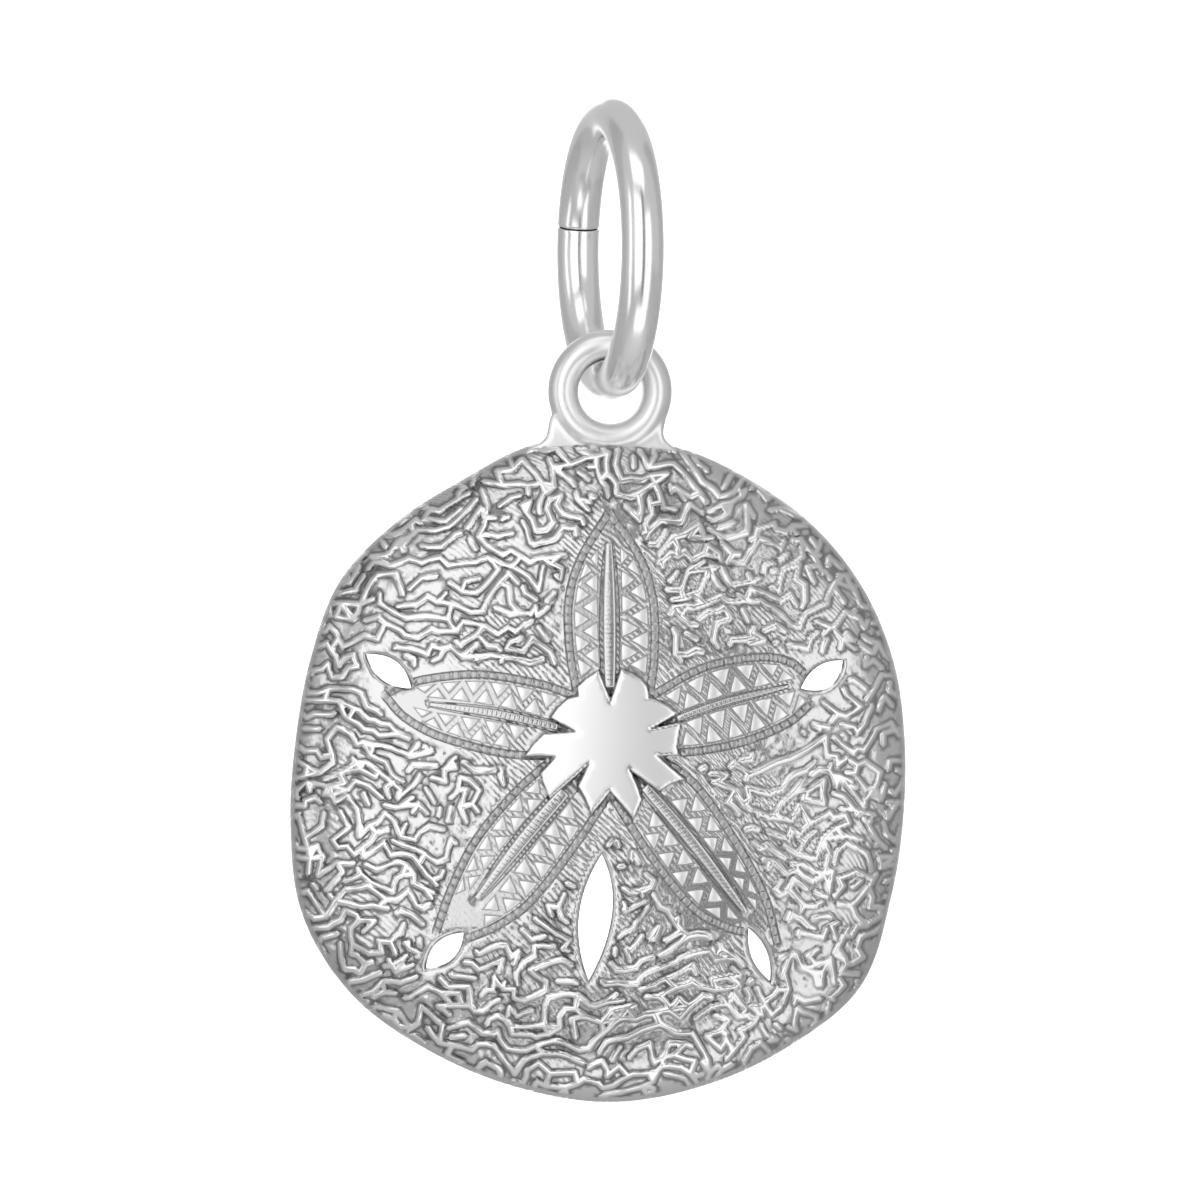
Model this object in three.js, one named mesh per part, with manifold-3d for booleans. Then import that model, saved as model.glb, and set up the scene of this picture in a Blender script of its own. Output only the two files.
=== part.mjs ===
// A cast silver sand dollar charm that hangs by its eyelet on a jump ring of round wire.
// Millimetres, +Z up. The front faces -Y.
// The origin is the inside of the jump ring's top, where the whole charm hangs.

import * as THREE from 'three';
import { mergeVertices } from 'three/addons/utils/BufferGeometryUtils.js';
import Module from 'manifold-3d';

const wasm = await Module();
wasm.setup();

// Jump ring: round wire bent to a circle, its two cut ends butted together at the back.
const RING_ACROSS = 7.0;
const WIRE_THICK = 0.94;
const RING_YAW = THREE.MathUtils.degToRad(14.2);
const JOINT_ANGLE = THREE.MathUtils.degToRad(170);
const JOINT_GAP = 0.05;
const WIRE_SIDES = 10;
const RING_STEPS = 40;

// Eyelet: a flattened ring cast in one with the disc. The wire runs through it with a little play.
const EYELET_HOLE = 1.45;
const EYELET_BAND = 0.7;
const EYELET_DEPTH = 0.84;
const EYELET_PLAY = 0.045;
const EYELET_SIDES = 8;
const EYELET_STEPS = 24;
const NECK_BACK_Y = 0.4;
const NECK_FRONT_Y = -0.3;

// Disc: a rounded pentagon with a flat back and a domed front that rolls over at the rim.
const ROSETTE_DROP = 13.73;
const BACK_Y = 0.6;
const RIM_THICK = 0.45;
const DOME_RISE = 1.5;
const DOME_POWER = 3;
const DISC_STEPS = 48;
const DOME_ROWS = [0.3, 0.55, 0.75, 0.88, 0.955, 0.99];

// How far the rim is from the rosette's centre, every 15 degrees from +X towards +Z.
const RIM_RADII = [
  6.75, 6.73, 6.74, 6.74, 6.73, 6.83, 6.9, 6.95, 6.82, 6.97, 7.16, 7.1,
  7.2, 7.58, 8.13, 8.34, 8.28, 8.28, 8.34, 8.25, 8.17, 8.09, 7.42, 6.96,
];

// The slots through the disc, each a leaf between two tips that bulges through one point on each side.
const SLOTS = [
  { tips: [[-5.58, 1.92], [-4.53, 1.14]], sides: [[-4.88, 1.76], [-5.2, 1.33]] },
  { tips: [[4.35, 1.14], [5.33, 1.78]], sides: [[4.73, 1.64], [5.02, 1.18]] },
  { tips: [[-4.21, -5.26], [-3.34, -4.42]], sides: [[-3.95, -4.66], [-3.59, -5.03]] },
  { tips: [[3.66, -5.56], [3.16, -4.32]], sides: [[3.24, -5.01], [3.58, -4.87]] },
  { tips: [[-0.49, -5.55], [-0.19, -2.63]], sides: [[-0.71, -4.05], [0.05, -3.98]] },
];

// The five petals: two borders that run from the star to the tip, and the vein between them.
const PETALS = [
  {
    left: [[-0.73, 0.94], [-0.92, 2.01], [-0.94, 3.16], [-0.66, 4.12], [-0.02, 5.17]],
    right: [[0.89, 0.94], [1.01, 1.9], [0.98, 3.16], [0.66, 4.16], [-0.02, 5.17]],
    vein: [[0, 0.87], [-0.01, 2.6], [-0.02, 4.42]],
  },
  {
    left: [[-1.26, -0.41], [-2.49, -0.32], [-3.87, 0.05], [-4.67, 0.48], [-5.1, 0.94]],
    right: [[-0.73, 0.94], [-1.58, 1.24], [-2.95, 1.46], [-4.21, 1.35], [-4.94, 1.1]],
    vein: [[-0.8, 0.18], [-2.49, 0.55], [-4.09, 0.78]],
  },
  {
    left: [[0.89, 0.94], [2.08, 1.6], [3.23, 1.85], [4.03, 1.78], [4.51, 1.42]],
    right: [[1.05, -0.34], [2.08, -0.27], [3.11, -0.05], [4.03, 0.34], [4.51, 0.73]],
    vein: [[0.96, 0.23], [2.42, 0.78], [4.03, 1.19]],
  },
  {
    left: [[0, -1.21], [-0.78, -2.4], [-1.81, -3.71], [-2.61, -4.28], [-3.32, -4.58]],
    right: [[-1.26, -0.43], [-2.15, -1.21], [-3.07, -2.33], [-3.64, -3.48], [-3.96, -4.39]],
    vein: [[-0.48, -0.59], [-1.81, -2.1], [-3.0, -3.61]],
  },
  {
    left: [[1.05, -0.39], [1.97, -1.08], [2.88, -2.38], [3.52, -3.59], [3.82, -4.67]],
    right: [[0, -1.21], [0.82, -2.52], [1.85, -3.82], [2.65, -4.3], [3.16, -4.42]],
    vein: [[0.46, -0.71], [1.85, -2.33], [3.04, -3.89]],
  },
];

// Star: the smooth centre, its notches at the veins and where petals meet, its lobes between them.
const STAR_OUTLINE = [
  [0.02, 0.87], [0.25, 1.6], [0.71, 1.37], [0.89, 0.94], [1.54, 0.57], [0.94, 0.23], [1.62, 0.38],
  [1.53, -0.16], [1.08, -0.39], [1.69, -0.92], [1.12, -1.19], [0.46, -0.72], [0.73, -1.38],
  [0.53, -1.83], [0, -1.2], [-0.43, -1.72], [-0.73, -1.08], [-0.48, -0.58], [-1.37, -1.36],
  [-1.59, -0.79], [-1.25, -0.42], [-1.95, -0.4], [-1.51, 0.11], [-0.79, 0.16], [-1.36, 0.48],
  [-0.73, 0.97], [-0.55, 1.37], [-0.26, 1.56],
];
const STAR_PROUD = 0.12;

// Raised work on the dome.
const BORDER_THICK = 0.3;
const BORDER_SIDES = 6;
const BORDER_STEPS = 8;
const VEIN_WIDE = 0.3;
const VEIN_HIGH = 0.13;
const VEIN_STEPS = 5;
const STUD_RADIUS = 0.26;
const STUD_HIGH = 0.16;
const STUDS_PER_ROW = 5;
const RIDGE_WIDE = 0.32;
const RIDGE_HIGH = 0.16;
const RIDGE_SINK = 0.08;
const RIDGE_SPACING = 0.66;
const RIDGE_CELL = 1.05;
const RIDGE_JITTER = 0.3;
const RIDGE_WANDER = 0.95;
const RIDGE_MARGIN = 0.33;
const RIDGE_REACH = 0.955;
const RIDGE_SEED = 20;
const SHORTEST_STEP = 0.24;
const SLIVER = 0.003;

// Heights that follow from the sizes above.
const RING_Z = WIRE_THICK - RING_ACROSS / 2;
const WIRE_BOTTOM_Z = RING_Z - (RING_ACROSS - WIRE_THICK) / 2;
const EYELET_Z = WIRE_BOTTOM_Z + WIRE_THICK / 2 + EYELET_PLAY - EYELET_HOLE / 2;
const EYELET_MEAN = (EYELET_HOLE + EYELET_BAND) / 2;

// A solid from a closed geometry, and a geometry from a solid.
function solidOf(geometry) {
  const bare = geometry.clone();
  bare.deleteAttribute('normal');
  bare.deleteAttribute('uv');
  const merged = mergeVertices(bare, 1e-4);
  const vertProperties = new Float32Array(merged.getAttribute('position').array);
  const triVerts = new Uint32Array(merged.index.array);
  return new wasm.Manifold(new wasm.Mesh({ numProp: 3, vertProperties, triVerts }));
}

function geometryOf(solid) {
  const mesh = solid.getMesh();
  const geometry = new THREE.BufferGeometry();
  geometry.setAttribute('position', new THREE.BufferAttribute(mesh.vertProperties, 3));
  geometry.setIndex(new THREE.BufferAttribute(mesh.triVerts, 1));
  const flat = geometry.toNonIndexed();
  flat.computeVertexNormals();
  return flat;
}

// Positions on the disc are (x, z) pairs measured from the rosette's centre.
function rimRadius(angle) {
  const count = RIM_RADII.length;
  const place = ((angle / (2 * Math.PI)) * count + count) % count;
  const low = Math.floor(place);
  const part = place - low;
  const [a, b, c, d] = [-1, 0, 1, 2].map((step) => RIM_RADII[(low + step + count) % count]);
  const bend = a - 2.5 * b + 2 * c - 0.5 * d;
  const twist = 1.5 * (b - c) + 0.5 * (d - a);
  return b + part * (0.5 * (c - a) + part * (bend + part * twist));
}

function rimShare(x, z) {
  return Math.hypot(x, z) / rimRadius(Math.atan2(z, x));
}

function domeRise(share) {
  const inside = Math.max(0, 1 - Math.min(share, 1) ** DOME_POWER);
  return RIM_THICK + DOME_RISE * Math.sqrt(inside);
}

function domeY(x, z) {
  return BACK_Y - domeRise(rimShare(x, z));
}

// Disc body: a turned profile whose radius runs from 0 to 1, then drawn out to the rim's own outline.
function discBody() {
  const profile = [new THREE.Vector2(0, BACK_Y - domeRise(0))];
  for (const share of DOME_ROWS) profile.push(new THREE.Vector2(share, BACK_Y - domeRise(share)));
  profile.push(new THREE.Vector2(1, BACK_Y - RIM_THICK));
  profile.push(new THREE.Vector2(1, BACK_Y));
  profile.push(new THREE.Vector2(0, BACK_Y));
  const geometry = new THREE.LatheGeometry(profile, DISC_STEPS);
  const position = geometry.getAttribute('position');
  for (let i = 0; i < position.count; i += 1) {
    const radius = rimRadius(Math.atan2(position.getZ(i), position.getX(i)));
    position.setX(i, position.getX(i) * radius);
    position.setZ(i, position.getZ(i) * radius);
  }
  return solidOf(geometry);
}

// A prism with an outline drawn on the disc, from one depth to another.
function prism(outline, fromY, toY) {
  const geometry = new THREE.ExtrudeGeometry(outline, {
    depth: fromY - toY,
    bevelEnabled: false,
    curveSegments: 5,
  });
  geometry.rotateX(Math.PI / 2);
  geometry.translate(0, fromY, 0);
  return solidOf(geometry);
}

function slot({ tips: [start, end], sides: [near, far] }) {
  // A quadratic curve passes halfway to its control point, so each control lies twice as far out.
  const control = (side) => side.map((value, k) => 2 * value - (start[k] + end[k]) / 2);
  const outline = new THREE.Shape();
  outline.moveTo(...start);
  outline.quadraticCurveTo(...control(near), ...end);
  outline.quadraticCurveTo(...control(far), ...start);
  return prism(outline, BACK_Y + 0.5, BACK_Y - RIM_THICK - DOME_RISE - 0.5);
}

function star() {
  const outline = new THREE.Shape(STAR_OUTLINE.map(([x, z]) => new THREE.Vector2(x, z)));
  const crown = BACK_Y - domeRise(0);
  return prism(outline, crown + 0.5, crown - STAR_PROUD);
}

// Eyelet and the neck that carries it on the rim.
function eyelet() {
  const section = [];
  for (let i = 0; i <= EYELET_SIDES; i += 1) {
    const angle = (i / EYELET_SIDES) * 2 * Math.PI;
    section.push(new THREE.Vector2(
      EYELET_MEAN + (EYELET_BAND / 2) * Math.cos(angle),
      (EYELET_DEPTH / 2) * Math.sin(angle),
    ));
  }
  return solidOf(new THREE.LatheGeometry(section, EYELET_STEPS));
}

function neck() {
  const outline = new THREE.Shape();
  outline.moveTo(-1.27, -0.55);
  outline.quadraticCurveTo(-1.26, -0.95, -1.66, -1.2);
  outline.lineTo(-1.5, -1.9);
  outline.lineTo(1.3, -1.9);
  outline.lineTo(1.46, -1.12);
  outline.quadraticCurveTo(1.16, -0.9, 1.27, -0.55);
  outline.absarc(0, 0, EYELET_MEAN, THREE.MathUtils.degToRad(-32), THREE.MathUtils.degToRad(-148), true);
  return prism(outline, NECK_BACK_Y, NECK_FRONT_Y);
}

// Sweeps: paths that lie on the dome.
class DomePath extends THREE.Curve {
  constructor(points) {
    super();
    this.flat = new THREE.CatmullRomCurve3(points.map(([x, z]) => new THREE.Vector3(x, 0, z)));
  }

  getPoint(share, target = new THREE.Vector3()) {
    const { x, z } = this.flat.getPoint(share);
    return target.set(x, domeY(x, z), z);
  }
}

function roundSection(thick, sides) {
  const circle = new THREE.EllipseCurve(0, 0, thick / 2, thick / 2);
  return new THREE.Shape(circle.getPoints(sides));
}

function border(points) {
  return solidOf(new THREE.ExtrudeGeometry(roundSection(BORDER_THICK, BORDER_SIDES), {
    steps: BORDER_STEPS,
    extrudePath: new DomePath(points),
  }));
}

// A ridge of three-cornered section: the rows of a plain prism, moved to the points with mitred corners.
function ridge(points, wide, high) {
  const steps = points.length - 1;
  const across = points.map((_, i) => mitre(points[i - 1], points[i], points[i + 1]));
  const geometry = new THREE.CylinderGeometry(1, 1, steps, 3, steps);
  const position = geometry.getAttribute('position');
  for (let i = 0; i < position.count; i += 1) {
    const row = Math.round(position.getY(i) + steps / 2);
    const side = (position.getX(i) / Math.sin(Math.PI / 3)) * (wide / 2);
    const crest = position.getZ(i) > 0.9;
    const x = points[row][0] + side * across[row][0];
    const z = points[row][1] + side * across[row][1];
    position.setXYZ(i, x, domeY(x, z) + (crest ? -high : RIDGE_SINK), z);
  }
  return solidOf(geometry);
}

function mitre(before, here, after) {
  const sides = [[before, here], [here, after]]
    .filter(([a, b]) => a && b)
    .map(([a, b]) => {
      const length = Math.hypot(b[0] - a[0], b[1] - a[1]);
      return [(b[1] - a[1]) / length, (a[0] - b[0]) / length];
    });
  const sum = sides.reduce(([x, z], [dx, dz]) => [x + dx, z + dz], [0, 0]);
  const reach = Math.max(Math.hypot(...sum) ** 2, 1.2 * sides.length) / sides.length;
  return sum.map((value) => value / reach);
}

function vein(points) {
  const line = new DomePath(points).getPoints(VEIN_STEPS).map(({ x, z }) => [x, z]);
  return ridge(line, VEIN_WIDE, VEIN_HIGH);
}

// Studs: two rows of little three-sided pyramids on each side of a petal's vein, pointing opposite ways.
function studs(petal) {
  const made = [];
  const veinPath = new DomePath(petal.vein);
  for (const edge of [petal.left, petal.right]) {
    const edgePath = new DomePath(edge);
    for (let row = 0; row < 2; row += 1) {
      const toEdge = row === 0 ? 0.36 : 0.7;
      for (let i = 0; i < STUDS_PER_ROW; i += 1) {
        const along = 0.13 + (0.66 * (i + 0.5 * row)) / STUDS_PER_ROW;
        const place = veinPath.getPoint(along).lerp(edgePath.getPoint(along), toEdge);
        if (place.distanceTo(veinPath.getPoint(along)) < STUD_RADIUS + VEIN_WIDE / 3) continue;
        const outwards = edgePath.getPoint(along).sub(veinPath.getPoint(along));
        const turn = Math.atan2(outwards.x, outwards.z) + (row === 0 ? Math.PI : 0);
        const geometry = new THREE.ConeGeometry(STUD_RADIUS, 2 * STUD_HIGH, 3);
        geometry.rotateX(Math.PI);
        geometry.rotateY(turn + Math.PI);
        geometry.translate(place.x, domeY(place.x, place.z), place.z);
        made.push(solidOf(geometry));
      }
    }
  }
  return made;
}

// The ridge network: level lines of a wandering slope over a jittered net of triangles, so that
// neighbouring ridges keep their distance and turn together at sharp corners.
function makeRandom(seed) {
  let state = seed;
  return () => {
    state = (state * 16807) % 2147483647;
    return state / 2147483647;
  };
}

function ridgeNet(random) {
  const reach = Math.ceil(9 / RIDGE_CELL);
  const rows = [];
  for (let j = -reach; j <= reach; j += 1) {
    const row = [];
    for (let i = -reach; i <= reach; i += 1) {
      const x = (i + 0.5 * Math.abs(j % 2) + RIDGE_JITTER * (2 * random() - 1)) * RIDGE_CELL;
      const z = (j * 0.87 + RIDGE_JITTER * (2 * random() - 1)) * RIDGE_CELL;
      const level = z / RIDGE_SPACING + RIDGE_WANDER * (2 * random() - 1);
      row.push({ x, z, level, key: `${i},${j}` });
    }
    rows.push(row);
  }
  const triangles = [];
  for (let j = 0; j + 1 < rows.length; j += 1) {
    const shift = (j - reach) % 2 === 0 ? 0 : 1;
    for (let i = 0; i + 1 < rows[j].length; i += 1) {
      const [low, high] = [rows[j], rows[j + 1]];
      if (shift === 0) triangles.push([low[i], low[i + 1], high[i]], [low[i + 1], high[i + 1], high[i]]);
      else triangles.push([low[i], high[i + 1], high[i]], [low[i], low[i + 1], high[i + 1]]);
    }
  }
  return triangles;
}

function levelSteps(triangles) {
  const neighbours = new Map();
  const places = new Map();
  const join = (a, b) => {
    if (!neighbours.has(a)) neighbours.set(a, []);
    neighbours.get(a).push(b);
  };
  for (const corners of triangles) {
    const levels = corners.map((corner) => corner.level);
    for (let level = Math.ceil(Math.min(...levels)); level <= Math.max(...levels); level += 1) {
      const crossings = [];
      for (const [a, b] of [[corners[0], corners[1]], [corners[1], corners[2]], [corners[2], corners[0]]]) {
        if ((a.level < level) === (b.level < level)) continue;
        const part = (level - a.level) / (b.level - a.level);
        const key = [[a.key, b.key].sort().join('|'), level].join('@');
        places.set(key, [a.x + part * (b.x - a.x), a.z + part * (b.z - a.z)]);
        crossings.push(key);
      }
      if (crossings.length === 2) {
        join(crossings[0], crossings[1]);
        join(crossings[1], crossings[0]);
      }
    }
  }
  return { neighbours, places };
}

function insideOutline([x, z], outline) {
  let inside = false;
  for (let i = 0, j = outline.length - 1; i < outline.length; j = i, i += 1) {
    const [[ax, az], [bx, bz]] = [outline[i], outline[j]];
    if ((az > z) !== (bz > z) && x < ((bx - ax) * (z - az)) / (bz - az) + ax) inside = !inside;
  }
  return inside;
}

function distanceTo([x, z], outline) {
  let nearest = Infinity;
  for (let i = 0, j = outline.length - 1; i < outline.length; j = i, i += 1) {
    const [[ax, az], [bx, bz]] = [outline[j], outline[i]];
    const lengthSquared = (bx - ax) ** 2 + (bz - az) ** 2;
    const along = ((x - ax) * (bx - ax) + (z - az) * (bz - az)) / Math.max(lengthSquared, 1e-9);
    const part = Math.min(1, Math.max(0, along));
    nearest = Math.min(nearest, Math.hypot(x - ax - part * (bx - ax), z - az - part * (bz - az)));
  }
  return nearest;
}

// Where ridges may lie: on the dome, clear of the star, the petals, the slots and the rim's roll.
function onPlainField(place, keepOff) {
  if (rimShare(...place) > RIDGE_REACH) return false;
  const isClear = (outline) => !insideOutline(place, outline) && distanceTo(place, outline) > RIDGE_MARGIN;
  return keepOff.every(isClear);
}

function ridgeLines() {
  const { neighbours, places } = levelSteps(ridgeNet(makeRandom(RIDGE_SEED)));
  const keepOff = [
    ...PETALS.map(({ left, right }) => [...left, ...[...right].reverse()]),
    ...SLOTS.map(({ tips, sides }) => [tips[0], sides[0], tips[1], sides[1]]),
    STAR_OUTLINE,
  ];
  const open = new Set([...places.keys()].filter((key) => onPlainField(places.get(key), keepOff)));
  const lines = [];
  const walk = (start) => {
    const line = [];
    for (let key = start; key; key = neighbours.get(key).find((next) => open.has(next))) {
      open.delete(key);
      const place = places.get(key);
      const last = line.at(-1);
      if (!last || Math.hypot(place[0] - last[0], place[1] - last[1]) > SHORTEST_STEP) line.push(place);
    }
    return line;
  };
  const isEnd = (key) => neighbours.get(key).filter((next) => open.has(next)).length < 2;
  while (open.size > 0) {
    const start = [...open].find(isEnd) ?? [...open][0];
    const line = walk(start);
    if (line.length > 1) lines.push(line);
  }
  return lines;
}

function sandDollar() {
  const raised = [
    star(),
    ...PETALS.flatMap(({ left, right }) => [border(left), border(right)]),
    ...PETALS.map((petal) => vein(petal.vein)),
    ...PETALS.flatMap(studs),
    ...ridgeLines().map((line) => ridge(line, RIDGE_WIDE, RIDGE_HIGH)),
  ];
  let disc = discBody();
  for (const piece of raised) disc = disc.add(piece);
  for (const opening of SLOTS) disc = disc.subtract(slot(opening));
  disc = disc.translate([0, 0, -ROSETTE_DROP]);
  const hanger = eyelet().add(neck()).translate([0, 0, EYELET_Z]);
  return disc.add(hanger).simplify(SLIVER);
}

// Jump ring: an arc of wire from one cut end round to the other.
class RingPath extends THREE.Curve {
  getPoint(share, target = new THREE.Vector3()) {
    const radius = (RING_ACROSS - WIRE_THICK) / 2;
    const gap = JOINT_GAP / radius;
    const angle = JOINT_ANGLE + gap / 2 + share * (2 * Math.PI - gap);
    return target.set(radius * Math.cos(angle), radius * Math.sin(angle), 0);
  }
}

function jumpRing() {
  const section = roundSection(WIRE_THICK, WIRE_SIDES);
  const geometry = new THREE.ExtrudeGeometry(section, { steps: RING_STEPS, extrudePath: new RingPath() });
  // Stand the ring up, turn its right-hand strand to the front and hang it from the origin.
  geometry.rotateX(Math.PI / 2);
  geometry.rotateZ(RING_YAW - Math.PI / 2);
  geometry.translate(0, 0, RING_Z);
  return solidOf(geometry);
}

const silver = new THREE.MeshStandardMaterial({ color: 0xd9dadb, roughness: 0.22, metalness: 1 });
const struckSilver = new THREE.MeshStandardMaterial({ color: 0xc4c5c6, roughness: 0.34, metalness: 1 });

function named(name, solid, material) {
  const mesh = new THREE.Mesh(geometryOf(solid), material);
  mesh.name = name;
  return mesh;
}

const charm = new THREE.Group();
charm.name = 'sand_dollar_charm';
charm.add(named('jump_ring', jumpRing(), silver));
charm.add(named('sand_dollar', sandDollar(), struckSilver));

export default charm;
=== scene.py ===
# %% [markdown]
# # A cast silver sand dollar charm
# The real thing is a small domed disc of sterling silver, cast with a rosette of five petals,
# a net of fine raised ridges and five slots, and hung by its eyelet on a jump ring of round wire.
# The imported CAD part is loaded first. It is the fixed frame: it says where every piece goes and
# how large it is. The pieces modelled here ride on its two bodies, `ring` and `charm`.
# The charm is only 23 mm high, and several of Blender's tools lose precision on lengths under a
# tenth of a millimetre. So every piece is modelled with one Blender unit for a millimetre, and
# is shrunk to metres when it is done.

import math

import bpy
import numpy as np
from mathutils import Matrix, Vector
from mathutils.geometry import delaunay_2d_cdt


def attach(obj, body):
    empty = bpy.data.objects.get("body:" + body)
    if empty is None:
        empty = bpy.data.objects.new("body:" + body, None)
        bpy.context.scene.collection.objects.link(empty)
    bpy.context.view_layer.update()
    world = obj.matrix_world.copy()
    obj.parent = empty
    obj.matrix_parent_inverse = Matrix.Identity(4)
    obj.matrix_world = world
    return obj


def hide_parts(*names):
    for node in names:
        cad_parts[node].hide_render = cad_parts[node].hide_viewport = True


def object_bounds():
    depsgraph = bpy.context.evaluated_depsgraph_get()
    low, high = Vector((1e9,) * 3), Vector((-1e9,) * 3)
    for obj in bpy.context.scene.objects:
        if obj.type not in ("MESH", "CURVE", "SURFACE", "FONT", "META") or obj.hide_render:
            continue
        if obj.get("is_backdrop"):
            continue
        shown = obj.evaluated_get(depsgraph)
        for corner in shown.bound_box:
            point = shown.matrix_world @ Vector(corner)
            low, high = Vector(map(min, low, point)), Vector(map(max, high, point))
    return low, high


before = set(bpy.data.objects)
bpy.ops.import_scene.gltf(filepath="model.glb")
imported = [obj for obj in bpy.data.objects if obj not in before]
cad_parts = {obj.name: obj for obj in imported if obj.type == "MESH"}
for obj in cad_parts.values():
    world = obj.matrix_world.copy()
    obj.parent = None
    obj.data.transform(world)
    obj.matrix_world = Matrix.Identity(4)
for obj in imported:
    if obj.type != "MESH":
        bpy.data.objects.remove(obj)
bpy.context.view_layer.update()
cad_low, cad_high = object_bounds()
MM = 0.001
print("CAD box in mm:", [round(v / MM, 2) for v in (*cad_low, *cad_high)])

# %% [markdown]
# ## Starting and finishing a piece
# An operator works on whatever is selected, and the loaded CAD nodes are selected at first, so
# each step starts with nothing selected. A finished piece has its place in its mesh, with its
# object at the origin. It then rides on a body, stands for a CAD node and names its finish.

# %% Helpers for every piece
def nothing_selected():
    if bpy.context.mode != "OBJECT":
        bpy.ops.object.mode_set(mode="OBJECT")
    bpy.ops.object.select_all(action="DESELECT")


def pick(piece):
    nothing_selected()
    bpy.context.view_layer.objects.active = piece
    piece.select_set(True)
    return piece


def piece_from(name, points, faces):
    mesh = bpy.data.meshes.new(name)
    mesh.from_pydata([tuple(p) for p in points], [], [tuple(f) for f in faces])
    piece = bpy.data.objects.new(name, mesh)
    bpy.context.scene.collection.objects.link(piece)
    return pick(piece)


def face_outward():
    """Turns all the normals of the active piece outward, and leaves it in object mode."""
    bpy.ops.object.mode_set(mode="EDIT")
    bpy.ops.mesh.select_all(action="SELECT")
    bpy.ops.mesh.normals_make_consistent(inside=False)
    bpy.ops.object.mode_set(mode="OBJECT")


def apply_modifier(piece, kind, **settings):
    pick(piece)
    modifier = piece.modifiers.new(kind.lower(), kind)
    for key, value in settings.items():
        setattr(modifier, key, value)
    bpy.ops.object.modifier_apply(modifier=modifier.name)


def two_finishes(piece, first, second, where):
    """Gives a piece two finishes, with the second on the faces that where picks."""
    piece.data.materials.append(first)
    piece.data.materials.append(second)
    for face in piece.data.polygons:
        face.material_index = int(where(face))


def finished(piece, name, material, body, node, sharp_degrees=40):
    pick(piece)
    piece.name = piece.data.name = name
    piece.scale = [MM * side for side in piece.scale]
    piece.location = piece.location * MM
    bpy.ops.object.transform_apply(location=True, rotation=True, scale=True)
    bpy.ops.object.shade_smooth_by_angle(angle=math.radians(sharp_degrees))
    if material:
        piece.data.materials.clear()
        piece.data.materials.append(material)
    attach(piece, body)
    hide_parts(node)
    print(name, "has", sum(len(p.vertices) - 2 for p in piece.data.polygons), "triangles")
    return piece


# %% [markdown]
# ## Camera, floor and light
# Jewellery is shown straight from the front through a long lens, so that nothing looks bent.
# A white card behind it gives a pure white ground. Polished silver is a mirror: its colour is
# whatever stands round it. Five soft boxes stand before, beside, above and below the charm. The
# dark strip and the grey flags are out of the camera's sight and are seen only in the metal: the
# strip lays grey bands down the wire, and the flags keep the rim from fading into the ground.

# %% Camera
VIEW_CENTRE = (-0.229, -10.57)
VIEW_SIDE = 27.45
CAMERA_FAR = 300.0
UPRIGHT = math.radians(90)

camera_data = bpy.data.cameras.new("camera")
camera = bpy.data.objects.new("camera", camera_data)
bpy.context.scene.collection.objects.link(camera)
camera_data.lens = camera_data.sensor_width * CAMERA_FAR / VIEW_SIDE
camera_data.clip_start = 0.01
camera.location = (VIEW_CENTRE[0] * MM, -CAMERA_FAR * MM, VIEW_CENTRE[1] * MM)
camera.rotation_euler = (UPRIGHT, 0, 0)
bpy.context.scene.camera = camera
print("lens", round(camera_data.lens), "mm")

# %% Colours and nodes
def linear(code):
    """A colour in linear light from its sRGB hex code."""
    parts = [int(code[i : i + 2], 16) / 255 for i in (1, 3, 5)]
    curve = [p / 12.92 if p <= 0.04045 else ((p + 0.055) / 1.055) ** 2.4 for p in parts]
    return (*curve, 1.0)


def set_up(node, **settings):
    """Sets a node's properties and inputs by name. An input's name has _ in place of a space."""
    for key, value in settings.items():
        if hasattr(node, key):
            setattr(node, key, value)
        else:
            node.inputs[key.replace("_", " ")].default_value = value


def add_node(tree, kind, links=(), **settings):
    """Adds a node with these settings, and joins the pairs of input and output in links."""
    node = tree.nodes.new(kind)
    set_up(node, **settings)
    for place, output in links:
        tree.links.new(output, node.inputs[place])
    return node


# %% Floor, cards and lights
def board(name, size, location, rotation, colour, shine, seen=True):
    """A stage board. One that is not seen stands out of the picture, as a lamp does."""
    nothing_selected()
    bpy.ops.mesh.primitive_plane_add(size=1, location=[MM * v for v in location], rotation=rotation)
    plane = bpy.context.object
    plane.name = name
    plane.scale = (size[0] * MM, size[1] * MM, 1)
    paint = bpy.data.materials.new(name)
    paint.use_nodes = True
    set_up(
        paint.node_tree.nodes["Principled BSDF"], Base_Color=linear(colour), Roughness=0.9,
        Specular_IOR_Level=0.1, Emission_Color=(1, 1, 1, 1), Emission_Strength=shine,
    )
    plane.data.materials.append(paint)
    plane.visible_camera = seen
    plane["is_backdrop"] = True
    return plane


board("pale_floor", (4000, 4000), (0, 0, -420), (0, 0, 0), "#e6e6e6", 0.0)
board("white_card", (300, 400), (0, 400, -11), (UPRIGHT, 0, 0), "#f4f4f4", 1.0)

BOX_FAR = 450
CHARM_MIDDLE = Vector((0, 0, -12))


def soft_box(name, brightness, size, azimuth, elevation):
    """A lit white cloth. Azimuth 0 is at the lens, and 90 on the right. Brightness 1 is white."""
    a, e = math.radians(azimuth), math.radians(elevation)
    away = Vector((math.sin(a) * math.cos(e), -math.cos(a) * math.cos(e), math.sin(e)))
    data = bpy.data.lights.new(name, "AREA")
    data.shape = "RECTANGLE"
    data.size, data.size_y = size[0] * MM, size[1] * MM
    data.energy = brightness * math.pi * data.size * data.size_y
    lamp = bpy.data.objects.new(name, data)
    bpy.context.scene.collection.objects.link(lamp)
    lamp.location = (CHARM_MIDDLE + away * BOX_FAR) * MM
    lamp.rotation_euler = (-away).to_track_quat("-Z", "Y").to_euler()
    return lamp


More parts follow.
